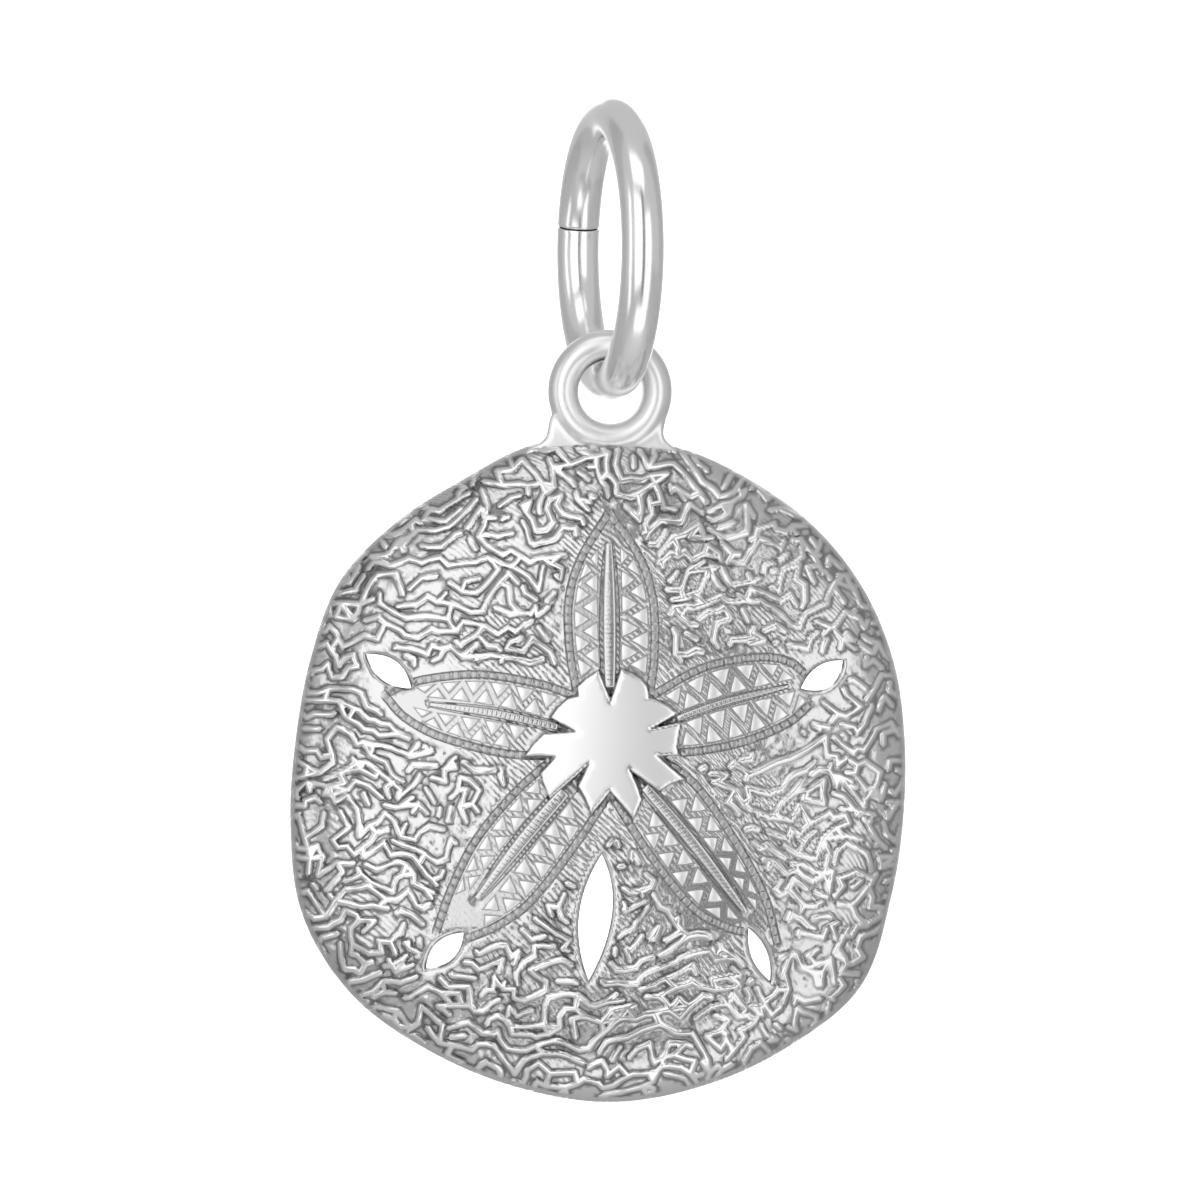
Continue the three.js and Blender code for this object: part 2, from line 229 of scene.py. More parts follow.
soft_box("key_box", 0.94, (330, 560), -21, 6)
soft_box("lens_box", 0.82, (260, 620), 32, -8)
soft_box("side_box", 0.9, (110, 480), -68, 0)
soft_box("top_box", 0.85, (420, 190), -10, 60)
soft_box("low_box", 0.8, (420, 170), 10, -55)
board("dark_strip", (76, 700), (44, -395, 60), (UPRIGHT, 0, 0), "#343434", 0.0, False)
for name, side in (("left_flag", -1), ("right_flag", 1)):
    turn = (UPRIGHT, 0, side * math.radians(60))
    board(name, (420, 700), (side * 330, 210, 60), turn, "#d2d2d2", 0.0, False)

world = bpy.data.worlds.new("studio")
world.use_nodes = True
set_up(world.node_tree.nodes["Background"], Color=linear("#c6c6c6"), Strength=1.0)
bpy.context.scene.world = world
bpy.context.scene.view_settings.view_transform = "Standard"
print("stage set")

# %% [markdown]
# ## Finishes
# Sterling silver is nearly white and reflects almost everything. After casting, the charm is
# tumbled: the crests come up bright, and the floors between them keep the fine grain of the
# mould. Painted shade greys the corners, the grooves, the beads and the studs' feet, and a painted
# shadow darkens the wire's cut ends. The star, the studs and the eyelet are buffed to a soft
# sheen, and the drawn wire is nearest to a mirror. Each material is plain metal with its
# default IOR. Only the tone, the roughness and a fine bump tell them apart.

# %% Silver finishes
BRIGHT_SILVER = "#f5f5f5"
CAST_SILVER = "#d2d2d2"
# The tone of the painted shade laid into corners and grooves.
PAINTED_SHADE_TONE = "#646464"
GRAIN_MM = 0.06
FACE_GRAIN_DEEP = 0.004
PATCH_MM = 2.2
HATCH_SCALE = 0.32
HATCH_MM = 0.085
HATCH_DEEP = 0.0055


def silver(name, tone, roughness, grain_depth):
    """Plain silver: its tone, its roughness, and the depth of its fine grain in millimetres."""
    material = bpy.data.materials.new(name)
    material.use_nodes = True
    tree = material.node_tree
    shader = tree.nodes["Principled BSDF"]
    set_up(shader, Metallic=1.0, Base_Color=linear(tone), Roughness=roughness)
    place = add_node(tree, "ShaderNodeTexCoord").outputs["Object"]
    grain = add_node(
        tree, "ShaderNodeTexNoise", [("Vector", place)], Scale=1 / (GRAIN_MM * MM), Detail=3.0
    )
    bump = add_node(
        tree, "ShaderNodeBump", [("Height", grain.outputs["Fac"])],
        Distance=grain_depth * MM, Strength=1.0,
    )
    tree.links.new(bump.outputs["Normal"], shader.inputs["Normal"])
    return material


def struck_face(name):
    """The disc's silver: painted shade in the corners, hatched on the floors, buffed where fully
    polished.
    """
    material = silver(name, CAST_SILVER, 0.25, FACE_GRAIN_DEEP)
    tree = material.node_tree
    shader = tree.nodes["Principled BSDF"]
    place = tree.nodes["Texture Coordinate"].outputs["Object"]
    # Two point attributes: painted shade, and how polished a place is, with a painted highlight
    # fading to the right.
    painted_shade_amount = add_node(tree, "ShaderNodeAttribute", attribute_name="painted_shade_amount").outputs["Fac"]
    polish_and_highlight = add_node(tree, "ShaderNodeAttribute", attribute_name="polish_and_highlight").outputs["Fac"]
    patch = add_node(
        tree, "ShaderNodeTexNoise", [("Vector", place)], Scale=1 / (PATCH_MM * MM), Detail=1.0
    ).outputs["Fac"]
    hatch = add_node(
        tree, "ShaderNodeTexWave", [("Vector", place)], Scale=HATCH_SCALE / (HATCH_MM * MM),
        Distortion=9.0, Detail=2.0, Detail_Scale=0.25, bands_direction="DIAGONAL",
    ).outputs["Fac"]
    hatched = add_node(
        tree, "ShaderNodeMapRange", [("Value", patch)], From_Min=0.4, From_Max=0.54
    )
    hatching = add_node(
        tree, "ShaderNodeMath", [(0, hatch), (1, hatched.outputs[0])], operation="MULTIPLY"
    )
    dull = add_node(tree, "ShaderNodeMath", [(1, polish_and_highlight)], operation="SUBTRACT")
    dull.inputs[0].default_value = 1.0
    grain = tree.nodes["Bump"]
    tree.links.new(dull.outputs[0], grain.inputs["Strength"])
    lines = add_node(
        tree, "ShaderNodeBump",
        [("Height", hatching.outputs[0]), ("Normal", grain.outputs["Normal"]),
         ("Strength", dull.outputs[0])],
        Distance=HATCH_DEEP * MM,
    )
    tree.links.new(lines.outputs["Normal"], shader.inputs["Normal"])
    # Painted shade: the colour is mixed toward a dark grey where the shade attribute is high.
    shade = add_node(tree, "ShaderNodeMix", [(0, painted_shade_amount)], data_type="RGBA")
    shade.inputs[6].default_value = linear(CAST_SILVER)
    shade.inputs[7].default_value = linear(PAINTED_SHADE_TONE)
    # Polished places turn brighter; where that fades to the right it is a painted highlight.
    bright = add_node(
        tree, "ShaderNodeMix", [(0, polish_and_highlight), (6, shade.outputs[2])], data_type="RGBA"
    )
    bright.inputs[7].default_value = linear(BRIGHT_SILVER)
    tree.links.new(bright.outputs[2], shader.inputs["Base Color"])
    gloss = add_node(
        tree, "ShaderNodeMapRange", [("Value", polish_and_highlight)], From_Min=0.85, To_Min=0.23, To_Max=0.33
    )
    tree.links.new(gloss.outputs[0], shader.inputs["Roughness"])
    return material


# The front: bright crests, hatched floors and painted shade in the corners.
struck_silver = struck_face("struck_silver")
# The back, the rim and the veins: even, lightly grained and a little grey.
cast_silver = silver("cast_silver", CAST_SILVER, 0.24, 0.003)
# The beads and the studs' feet: painted shade, a duller grey that greys the rope borders and draws a
# dark outline round each stud.
painted_shade_silver = silver("painted_shade_silver", "#b6b6b6", 0.32, 0.003)
# The eyelet and the studs' tops: pale, with wide soft highlights.
buffed_silver = silver("buffed_silver", "#eeeeee", 0.36, 0.0015)
# The ring: crisp highlights, since drawing the wire leaves it smooth.
wire_silver = silver("drawn_wire_silver", BRIGHT_SILVER, 0.21, 0.0006)
# The wire's sawn ends: a painted shadow, a dark, rough line where the butted ends shade the joint.
joint_shadow_silver = silver("joint_shadow_silver", "#3e3e3e", 0.5, 0.002)
print("finishes ready")

# %% [markdown]
# ## The form of the disc
# Places on the disc are measured from the rosette's centre, x to the right and z up. The rim is
# a rounded pentagon, given by its distance from that centre every 15 degrees. A number called
# the rim share is 0 at the centre and 1 at the rim. The front is a dome whose height falls
# slowly at first and rolls over at the rim.

# %% Rim, dome and curves
ROSETTE_Z = -13.73
BACK_Y = 0.6
RIM_THICK = 0.45
DOME_RISE = 1.5
DOME_POWER = 3
RIM_RADII = [
    6.75, 6.73, 6.74, 6.74, 6.73, 6.83, 6.9, 6.95, 6.82, 6.97, 7.16, 7.1,
    7.2, 7.58, 8.13, 8.34, 8.28, 8.28, 8.34, 8.25, 8.17, 8.09, 7.42, 6.96,
]


def curve_between(a, b, c, d, t):
    """The smooth curve from b to c at share t, where a and d are the points before and after."""
    bend = a - 2.5 * b + 2 * c - 0.5 * d
    return b + t * (0.5 * (c - a) + t * (bend + t * (1.5 * (b - c) + 0.5 * (d - a))))


def rim_radius(angle):
    radii = np.array(RIM_RADII)
    place = (np.asarray(angle) / (2 * math.pi) * len(radii)) % len(radii)
    low = np.floor(place).astype(int)
    return curve_between(*(radii[(low + step) % len(radii)] for step in (-1, 0, 1, 2)), place - low)


def rim_share(places):
    return np.hypot(places[:, 0], places[:, 1]) / rim_radius(np.arctan2(places[:, 1], places[:, 0]))


def dome_y(places):
    share = np.minimum(rim_share(places), 1)
    return BACK_Y - RIM_THICK - DOME_RISE * np.sqrt(1 - share**DOME_POWER)


def rim_loop(share, count):
    angle = np.arange(count) / count * 2 * math.pi
    reach = share * rim_radius(angle)
    return np.stack([reach * np.cos(angle), reach * np.sin(angle)], 1)


def smooth_path(points, count):
    """count places along a smooth line through points."""
    ends = np.array(points, float)
    ends = np.vstack([2 * ends[0] - ends[1], ends, 2 * ends[-1] - ends[-2]])
    along = np.linspace(0, len(points) - 1, count)
    low = np.minimum(along.astype(int), len(points) - 2)
    t = (along - low)[:, None]
    return curve_between(*(ends[low + k] for k in range(4)), t)


def lengths_along(path):
    """How far along a path each of its points is."""
    return np.concatenate([[0], np.cumsum(np.hypot(*np.diff(path, axis=0).T))])


def distance_to_lines(places, starts, ends):
    """How far each place is from the nearest of the lines, and which line that is."""
    far = np.empty(len(places))
    which = np.empty(len(places), int)
    run = ends - starts
    square = np.maximum((run**2).sum(1), 1e-12)
    for first in range(0, len(places), 3000):
        part = places[first : first + 3000, None, :] - starts
        t = np.clip((part * run).sum(2) / square, 0, 1)
        gap = part - t[..., None] * run
        length = np.hypot(gap[..., 0], gap[..., 1])
        which[first : first + 3000] = length.argmin(1)
        far[first : first + 3000] = length.min(1)
    return far, which


def distance_to_loop(places, loop):
    return distance_to_lines(places, loop, np.roll(loop, -1, axis=0))[0]


def within(places, loop):
    """True inside the loop, from where a line to one side crosses it an odd number of times."""
    ahead = np.roll(loop, -1, axis=0)
    x, z = places[:, 0, None], places[:, 1, None]
    crosses = (loop[:, 1] > z) != (ahead[:, 1] > z)
    rise = ahead[:, 1] - loop[:, 1]
    rise = np.where(rise == 0, 1e-12, rise)
    left = x < (ahead[:, 0] - loop[:, 0]) * (z - loop[:, 1]) / rise + loop[:, 0]
    return (crosses & left).sum(1) % 2 == 1


def signed_distance(places, loop):
    """Distance to the loop, below zero within it."""
    far = distance_to_loop(places, loop)
    return np.where(within(places, loop), -far, far)


print("disc is", round(np.ptp(rim_loop(1, 360)[:, 0]), 2), "mm wide and",
      round(np.ptp(rim_loop(1, 360)[:, 1]), 2), "mm high")

# %% [markdown]
# ## The rosette's lines
# Each petal is held by two borders that run from the star to the petal's tip, with a vein down
# its middle. The star is the smooth centre, notched where the veins and the borders meet it.
# Five slots go right through the disc: each is a leaf between two tips.

# %% Slots, petals and star
SLOTS = [
    {"tips": [(-5.58, 1.92), (-4.53, 1.14)], "sides": [(-4.88, 1.76), (-5.2, 1.33)]},
    {"tips": [(4.35, 1.14), (5.33, 1.78)], "sides": [(4.73, 1.64), (5.02, 1.18)]},
    {"tips": [(-4.21, -5.26), (-3.34, -4.42)], "sides": [(-3.95, -4.66), (-3.59, -5.03)]},
    {"tips": [(3.66, -5.56), (3.16, -4.32)], "sides": [(3.24, -5.01), (3.58, -4.87)]},
    {"tips": [(-0.49, -5.55), (-0.19, -2.63)], "sides": [(-0.71, -4.05), (0.05, -3.98)]},
]
PETALS = [
    {
        "left": [(-0.73, 0.94), (-0.92, 2.01), (-0.94, 3.16), (-0.66, 4.12), (-0.02, 5.17)],
        "right": [(0.89, 0.94), (1.01, 1.9), (0.98, 3.16), (0.66, 4.16), (-0.02, 5.17)],
        "vein": [(0, 0.87), (-0.01, 2.6), (-0.02, 4.42)],
        "vein_width": 1.0,
    },
    {
        "left": [(-1.26, -0.41), (-2.49, -0.32), (-3.87, 0.05), (-4.67, 0.48), (-5.1, 0.94)],
        "right": [(-0.73, 0.94), (-1.58, 1.24), (-2.95, 1.46), (-4.21, 1.35), (-4.94, 1.1)],
        "vein": [(-0.8, 0.18), (-2.49, 0.55), (-4.09, 0.78)],
        "vein_width": 0.62,
    },
    {
        "left": [(0.89, 0.94), (2.08, 1.6), (3.23, 1.85), (4.03, 1.78), (4.51, 1.42)],
        "right": [(1.05, -0.34), (2.08, -0.27), (3.11, -0.05), (4.03, 0.34), (4.51, 0.73)],
        "vein": [(0.96, 0.23), (2.42, 0.78), (4.03, 1.19)],
        "vein_width": 0.5,
    },
    {
        "left": [(0, -1.21), (-0.78, -2.4), (-1.81, -3.71), (-2.61, -4.28), (-3.32, -4.58)],
        "right": [(-1.26, -0.43), (-2.15, -1.21), (-3.07, -2.33), (-3.64, -3.48), (-3.96, -4.39)],
        "vein": [(-0.48, -0.59), (-1.81, -2.1), (-3.0, -3.61)],
        "vein_width": 1.0,
    },
    {
        "left": [(1.05, -0.39), (1.97, -1.08), (2.88, -2.38), (3.52, -3.59), (3.82, -4.67)],
        "right": [(0, -1.21), (0.82, -2.52), (1.85, -3.82), (2.65, -4.3), (3.16, -4.42)],
        "vein": [(0.46, -0.71), (1.85, -2.33), (3.04, -3.89)],
        "vein_width": 0.9,
    },
]
STAR_OUTLINE = [
    (0.02, 0.87), (0.25, 1.6), (0.5, 1.5), (0.71, 1.37), (0.85, 1.21), (0.89, 0.94), (1.1, 0.87),
    (1.33, 0.75), (1.54, 0.57), (0.94, 0.23), (1.62, 0.38), (1.57, 0.1), (1.53, -0.16),
    (1.56, -0.37), (1.08, -0.39), (1.4, -0.66), (1.69, -0.92), (1.4, -1.01), (1.12, -1.19),
    (0.46, -0.72), (0.6, -1.01), (0.73, -1.38), (0.53, -1.83), (0.25, -1.49), (0, -1.2),
    (-0.21, -1.47), (-0.43, -1.72), (-0.55, -1.41), (-0.73, -1.08), (-0.48, -0.58), (-0.78, -0.85),
    (-1.37, -1.36), (-1.49, -1.12), (-1.59, -0.79), (-1.25, -0.42), (-1.58, -0.38),
    (-1.95, -0.4), (-1.78, -0.16), (-1.51, 0.11), (-0.79, 0.16), (-1.36, 0.48),
    (-1.2, 0.71), (-0.97, 0.92), (-0.73, 0.97), (-0.74, 1.19), (-0.55, 1.37), (-0.26, 1.56),
]


def slot_loop(slot, count=14, spread=0.0):
    """The outline of a slot, with count points on each side, moved out by spread millimetres."""
    near, far = (np.array(tip) for tip in slot["tips"])
    axis = (far - near) / np.linalg.norm(far - near)
    near, far = near - axis * spread, far + axis * spread
    rows = []
    t = np.linspace(0, 1, count)[:, None]
    for first, last, side in ((near, far, slot["sides"][0]), (far, near, slot["sides"][1])):
        side = np.array(side)
        away = side - (first + last) / 2
        side = side + away / np.linalg.norm(away) * spread
        bulge = 2 * side - (first + last) / 2
        rows.append(((1 - t) ** 2 * first + 2 * t * (1 - t) * bulge + t**2 * last)[:-1])
    return np.vstack(rows)


LONG_SLOT = SLOTS[-1]
slot_counts = [24 if slot is LONG_SLOT else 14 for slot in SLOTS]
slot_loops = [slot_loop(slot) for slot in SLOTS]
petal_loops = [
    np.vstack([smooth_path(petal["left"], 30), smooth_path(petal["right"], 30)[::-1]])
    for petal in PETALS
]
star_loop = np.array(STAR_OUTLINE)
print(len(slot_loops), "slots,", len(petal_loops), "petals")

# %% [markdown]
# ## The net of ridges
# Between the petals the disc is covered with fine raised lines, like a crackled skin: they bend
# every half millimetre, fork, meet in threes and stop short. A regular pattern wouldn't look
# like it, and drawing fifteen hundred lines by hand wouldn't be a lesson. So they grow by rule.
# A jittered triangle lattice gets a number at each point that rises up the disc. Wherever that
# number passes a whole value, a line runs through the triangle, as contour lines do on a map.
# Short links join neighbouring lines, and branches then grow into any floor left too wide.

# %% Where ridges may run
RIDGE_MARGIN = 0.33
SLOT_MARGIN = 0.24
RIDGE_REACH = 0.991
COLLAR_HALF = 1.45
COLLAR_Z = 6.6
CLEAR_STEP = 0.08
CLEAR_HALF = 9.0
MEAN_RADIUS = 7

clear_axis = np.arange(-CLEAR_HALF, CLEAR_HALF + CLEAR_STEP, CLEAR_STEP)


def measured_clearance(places):
    """How far each place is inside the rim and outside all that has to stay bare."""
    room = (RIDGE_REACH - rim_share(places)) * MEAN_RADIUS
    for loop in [*petal_loops, star_loop]:
        room = np.minimum(room, signed_distance(places, loop) - RIDGE_MARGIN)
    for loop in slot_loops:
        room = np.minimum(room, signed_distance(places, loop) - SLOT_MARGIN)
    collar = np.where(np.abs(places[:, 0]) < COLLAR_HALF, COLLAR_Z - places[:, 1], CLEAR_HALF)
    return np.minimum(room, collar)


grid_x, grid_z = np.meshgrid(clear_axis, clear_axis)
clear_map = measured_clearance(np.stack([grid_x.ravel(), grid_z.ravel()], 1)).reshape(grid_x.shape)


def clearance(places):
    """Room for a ridge at each place, read from the map between its four nearest points."""
    places = np.atleast_2d(places)
    at = (places + CLEAR_HALF) / CLEAR_STEP
    low = np.clip(np.floor(at).astype(int), 0, len(clear_axis) - 2)
    u, v = (at - low).T
    i, j = low.T
    near = clear_map[j, i] * (1 - u) + clear_map[j, i + 1] * u
    far = clear_map[j + 1, i] * (1 - u) + clear_map[j + 1, i + 1] * u
    return near * (1 - v) + far * v


clear_area = float((clear_map > 0).mean() * (2 * CLEAR_HALF) ** 2)
print("ridges have", round(clear_area), "square mm of floor")

# %% Contour lines on a jittered lattice
RIDGE_SEED = 3
RIDGE_CELL = 0.44
RIDGE_SPACING = 0.37
RIDGE_JITTER = 0.22
RIDGE_WANDER = 1.35
ROW_LIKENESS = 0.65
LINK_CHANCE = 0.45
ROW_HEIGHT = 0.87
LATTICE_REACH = 9.4
RIGHT_BEGINS_OVER = 3
RIGHT_LESS_ALIKE = 0.75

draw = np.random.default_rng(RIDGE_SEED)
lattice_half = int(LATTICE_REACH / RIDGE_CELL) + 1
row, column = np.mgrid[-lattice_half : lattice_half + 1, -lattice_half : lattice_half + 1]
lattice_x = (column + 0.5 * (row % 2) + RIDGE_JITTER * draw.uniform(-1, 1, row.shape)) * RIDGE_CELL
lattice_z = (row * ROW_HEIGHT + RIDGE_JITTER * draw.uniform(-1, 1, row.shape)) * RIDGE_CELL
to_right = np.clip(lattice_x / RIGHT_BEGINS_OVER, 0, 1)
swell = (
    0.16 * np.sin(1.1 * lattice_x + 0.5 * lattice_z + 0.6)
    + 0.16 * np.sin(1.3 * lattice_z - 0.9 * lattice_x + 2.0)
    + 0.14 * np.maximum(0, lattice_z - 1.5) * np.sin(0.8 * lattice_x)
    + 0.4 * to_right * np.sin(2.6 * lattice_x + 1.4 * lattice_z)
)
wander = draw.uniform(-1, 1, row.shape)
likeness = ROW_LIKENESS * (1 - RIGHT_LESS_ALIKE * to_right)
wander += likeness * (np.roll(wander, 1, 0) + np.roll(wander, -1, 0))
wander *= RIDGE_WANDER / np.sqrt(1 + 2 * likeness**2)
level = (lattice_z + swell) / RIDGE_SPACING + wander

triangles = []
for j in range(2 * lattice_half):
    for i in range(2 * lattice_half):
        a, b, c, d = (j, i), (j, i + 1), (j + 1, i), (j + 1, i + 1)
        if (j - lattice_half) % 2 == 0:
            triangles += [(a, b, c), (b, d, c)]
        else:
            triangles += [(a, b, d), (a, d, c)]

nodes = []
node_of = {}


def crossing(p, q, height):
    """The node where the lattice side from p to q passes height."""
    key = (min(p, q), max(p, q), height)
    if key not in node_of:
        t = (height - level[p]) / (level[q] - level[p])
        ends = [np.array([lattice_x[e], lattice_z[e]]) for e in (p, q)]
        node_of[key] = len(nodes)
        nodes.append(ends[0] * (1 - t) + ends[1] * t)
    return node_of[key]


def sides(corners):
    return zip(corners, corners[1:] + corners[:1])


contour_lines = []
for corners in triangles:
    heights = [level[corner] for corner in corners]
    for height in range(math.ceil(min(heights)), math.floor(max(heights)) + 1):
        cuts = [
            crossing(p, q, height)
            for p, q in sides(corners)
            if (level[p] < height) != (level[q] < height)
        ]
        if len(cuts) == 2:
            contour_lines.append(tuple(cuts))

link_lines = []
lattice_sides = dict.fromkeys(
    (min(p, q), max(p, q)) for corners in triangles for p, q in sides(corners)
)
for p, q in lattice_sides:
    low, high = sorted((level[p], level[q]))
    passed = list(range(math.ceil(low), math.floor(high) + 1))
    for first, second in zip(passed, passed[1:]):
        if draw.random() < LINK_CHANCE:
            link_lines.append((crossing(p, q, first), crossing(p, q, second)))
print(len(contour_lines), "pieces of contour and", len(link_lines), "links on the whole lattice")

# %% Merge nodes that nearly touch, and trim to the clear floor
MERGE_UNDER = 0.12
SHORTEST_STUB = 0.08
TURN_BACK_WITHIN = 0.42
TURN_BACK_CHANCE = 0.55

stands_for = list(range(len(nodes)))


def merged(node):
    while stands_for[node] != node:
        stands_for[node] = stands_for[stands_for[node]]
        node = stands_for[node]
    return node


for a, b in contour_lines:
    if math.dist(nodes[a], nodes[b]) < MERGE_UNDER:
        a, b = merged(a), merged(b)
        if a != b:
            nodes[a] = (nodes[a] + nodes[b]) / 2
            stands_for[b] = a


def tidy_lines(lines):
    pairs = dict.fromkeys(tuple(sorted((merged(a), merged(b)))) for a, b in lines)
    return [pair for pair in pairs if pair[0] != pair[1]]


contour_lines = tidy_lines(contour_lines)
link_lines = [line for line in tidy_lines(link_lines) if line not in set(contour_lines)]
node_clear = clearance(np.array(nodes))


def trimmed(line):
    """The line cut where the clear floor ends, or None."""
    a, b = line
    if node_clear[a] > 0 and node_clear[b] > 0:
        return line
    if node_clear[a] <= 0 and node_clear[b] <= 0:
        return None
    if node_clear[a] <= 0:
        a, b = b, a
    shares = np.linspace(0, 1, 41)[:, None]
    room = clearance(nodes[a] * (1 - shares) + nodes[b] * shares)
    last = int(np.argmax(room <= 0)) - 1
    if last < 1 or shares[last, 0] * math.dist(nodes[a], nodes[b]) < SHORTEST_STUB:
        return None
    nodes.append(nodes[a] * (1 - shares[last]) + nodes[b] * shares[last])
    return (a, len(nodes) - 1)


first_end = len(nodes)
contour_lines = [line for line in map(trimmed, contour_lines) if line]
cut_ends = list(range(first_end, len(nodes)))
link_lines = [line for line in map(trimmed, link_lines) if line]
while cut_ends:
    end = cut_ends.pop()
    away = [math.dist(nodes[end], nodes[other]) for other in cut_ends]
    if away and min(away) < TURN_BACK_WITHIN and draw.random() < TURN_BACK_CHANCE:
        contour_lines.append((cut_ends.pop(int(np.argmin(away))), end))
print(len(contour_lines), "pieces of contour on the disc")

# %% Keep ridges apart, then grow branches into wide floors
RIDGE_GAP = 0.175
LINK_GAP = 0.1
BRANCH_GAP = 0.175
DROP_CHANCE = 0.03
BRANCH_TRIES = 9000
BRANCH_FROM = 0.2
BRANCH_STEP = (0.24, 0.42)
BRANCH_TURN = 1.1
JOIN_WITHIN = 0.5
JOIN_CHANCE = 0.6
MOST_RIDGES = 4000
SEED_REACH = 8.4
SEED_ROOM = 0.02
BEND_LATER = 0.06

ridge_ends = np.zeros((MOST_RIDGES, 2), int)
ridge_count = 0


def add_ridge(a, b):
    global ridge_count
    ridge_ends[ridge_count] = (a, b)
    ridge_count += 1


def to_ridges(places, kept):
    """How far each place is from the nearest of the kept ridges, and which of them that is."""
    points = np.array(nodes)
    return distance_to_lines(places, points[kept[:, 0]], points[kept[:, 1]])


def crowded(a, b, gap, shares):
    """True if the line from node a to b passes within gap of a ridge that shares neither node."""
    kept = ridge_ends[:ridge_count]
    apart = ~(kept == a).any(1) & ~(kept == b).any(1)
    if not apart.any():
        return False
    places = np.array([nodes[a] * (1 - t) + nodes[b] * t for t in shares])
    return bool((to_ridges(places, kept[apart])[0] < gap).any())


for index in draw.permutation(len(contour_lines)):
    line = contour_lines[index]
    if draw.random() >= DROP_CHANCE and not crowded(*line, RIDGE_GAP, (0.25, 0.5, 0.75)):
        add_ridge(*line)
for line in link_lines:
    if not crowded(*line, LINK_GAP, (0.25, 0.5, 0.75)):
        add_ridge(*line)
before_growth = ridge_count

angle = draw.uniform(0, 2 * math.pi, BRANCH_TRIES)
reach = np.sqrt(draw.random(BRANCH_TRIES)) * SEED_REACH
seeds = np.stack([reach * np.cos(angle), reach * np.sin(angle)], 1)
seeds = seeds[clearance(seeds) > SEED_ROOM]
seed_far = to_ridges(seeds, ridge_ends[:ridge_count])[0]


def step_on(node, heading, turn):
    """Grows one length of ridge from node, or returns None where there is no room for it."""
    heading = heading + turn
    way = np.array([math.cos(heading), math.sin(heading)]) * draw.uniform(*BRANCH_STEP)
    nodes.append(nodes[node] + way)
    last = len(nodes) - 1
    clear = clearance(np.array([nodes[last], nodes[last] - way / 2])).min() > 0
    if clear and not crowded(node, last, BRANCH_GAP, (0.5, 0.75, 1.0)):
        add_ridge(node, last)
        return last
    return None


def branch(seed):
    """Grows a crooked ridge both ways from seed, or from the nearest ridge's end if one is near."""
    kept = ridge_ends[:ridge_count]
    points = np.array(nodes)
    nearest = kept[to_ridges(seed[None], kept)[1][0]]
    run = points[nearest[1]] - points[nearest[0]]
    heading = math.atan2(run[1], run[0]) + draw.normal(0, 0.3)
    nodes.append(seed)
    middle = len(nodes) - 1
    grown = 0
    for way_round in (0, math.pi):
        node, ahead, turn = middle, heading + way_round, BRANCH_TURN * draw.choice((-0.5, 0.5))
        for _ in range(int(draw.integers(1, 4))):
            step = step_on(node, ahead, turn)
            if step is None:
                break
            node, ahead = step, ahead + turn
            turn = -np.sign(turn) * BRANCH_TURN * draw.uniform(0.6, 1.2)
            grown += 1
    if not grown:
        return False
    ends = np.flatnonzero(np.bincount(kept.ravel()) <= 2)
    ends = ends[np.isin(ends, kept)]
    away = np.hypot(*(points[ends] - seed).T)
    near = int(ends[np.argmin(away)])
    if 0.2 < away.min() < JOIN_WITHIN and draw.random() < JOIN_CHANCE:
        if not crowded(near, middle, LINK_GAP, (0.3, 0.5, 0.7)):
            add_ridge(near, middle)
    return True


for index, seed in enumerate(seeds):
    if seed_far[index] < BRANCH_FROM:
        continue
    count_then = ridge_count
    if branch(seed):
        fresh = ridge_ends[count_then:ridge_count]
        seed_far = np.minimum(seed_far, to_ridges(seeds, fresh)[0])
ridges = ridge_ends[:ridge_count].copy()
points = np.array(nodes)
bends = np.bincount(ridges.ravel(), minlength=len(points)) == 2
points[bends] += draw.uniform(-BEND_LATER, BEND_LATER, (int(bends.sum()), 2))
ridge_from, ridge_to = points[ridges[:, 0]], points[ridges[:, 1]]
print(before_growth, "ridges kept,", ridge_count, "after growth,",
      round(float(np.hypot(*(ridge_to - ridge_from).T).sum())), "mm of ridge in all")

# %% [markdown]
# ## Lines for the mesh to follow
# A ridge is crisp only if the mesh has edges along its crest and along both its feet. So each
# ridge gets five lines: a crest, two shoulders and two feet. Where ridges meet, the lines beside
# them are mitred, as a picture frame's corners are. A free end is closed with a blunt chisel
# point. The lines are cut into short lengths and nudged a little, as a hand-cut mould is.

# %% Mitred lines beside the ridges
FOOT_OUT = 0.092
SHOULDER_OUT = 0.03
BLUNT_FROM = math.radians(235)
STEP_MM = 0.17
NUDGE_MM = 0.009

net_points = []
net_edges = []
point_at = {}


def net_point(place):
    key = (round(place[0], 4), round(place[1], 4))
    if key not in point_at:
        point_at[key] = len(net_points)
        net_points.append((float(place[0]), float(place[1])))
    return point_at[key]


def net_line(first, last, nudge=NUDGE_MM):
    """Adds a line from first to last in short lengths, its inner points nudged."""
    steps = max(1, round(math.dist(first, last) / STEP_MM))
    shares = np.linspace(0, 1, steps + 1)[:, None]
    places = np.array(first) * (1 - shares) + np.array(last) * shares
    places[1:-1] += draw.uniform(-nudge, nudge, places[1:-1].shape)
    row = [net_point(place) for place in places]
    net_edges.extend((a, b) for a, b in zip(row, row[1:]) if a != b)


around = {}
for a, b in ridges:
    around.setdefault(int(a), []).append(int(b))
    around.setdefault(int(b), []).append(int(a))
for node, others in around.items():
    spoke = points[others] - points[node]
    around[node] = [others[i] for i in np.argsort(np.arctan2(spoke[:, 1], spoke[:, 0]))]


def turned(direction, turn):
    return np.array([
        direction[0] * math.cos(turn) - direction[1] * math.sin(turn),
        direction[0] * math.sin(turn) + direction[1] * math.cos(turn),
    ])


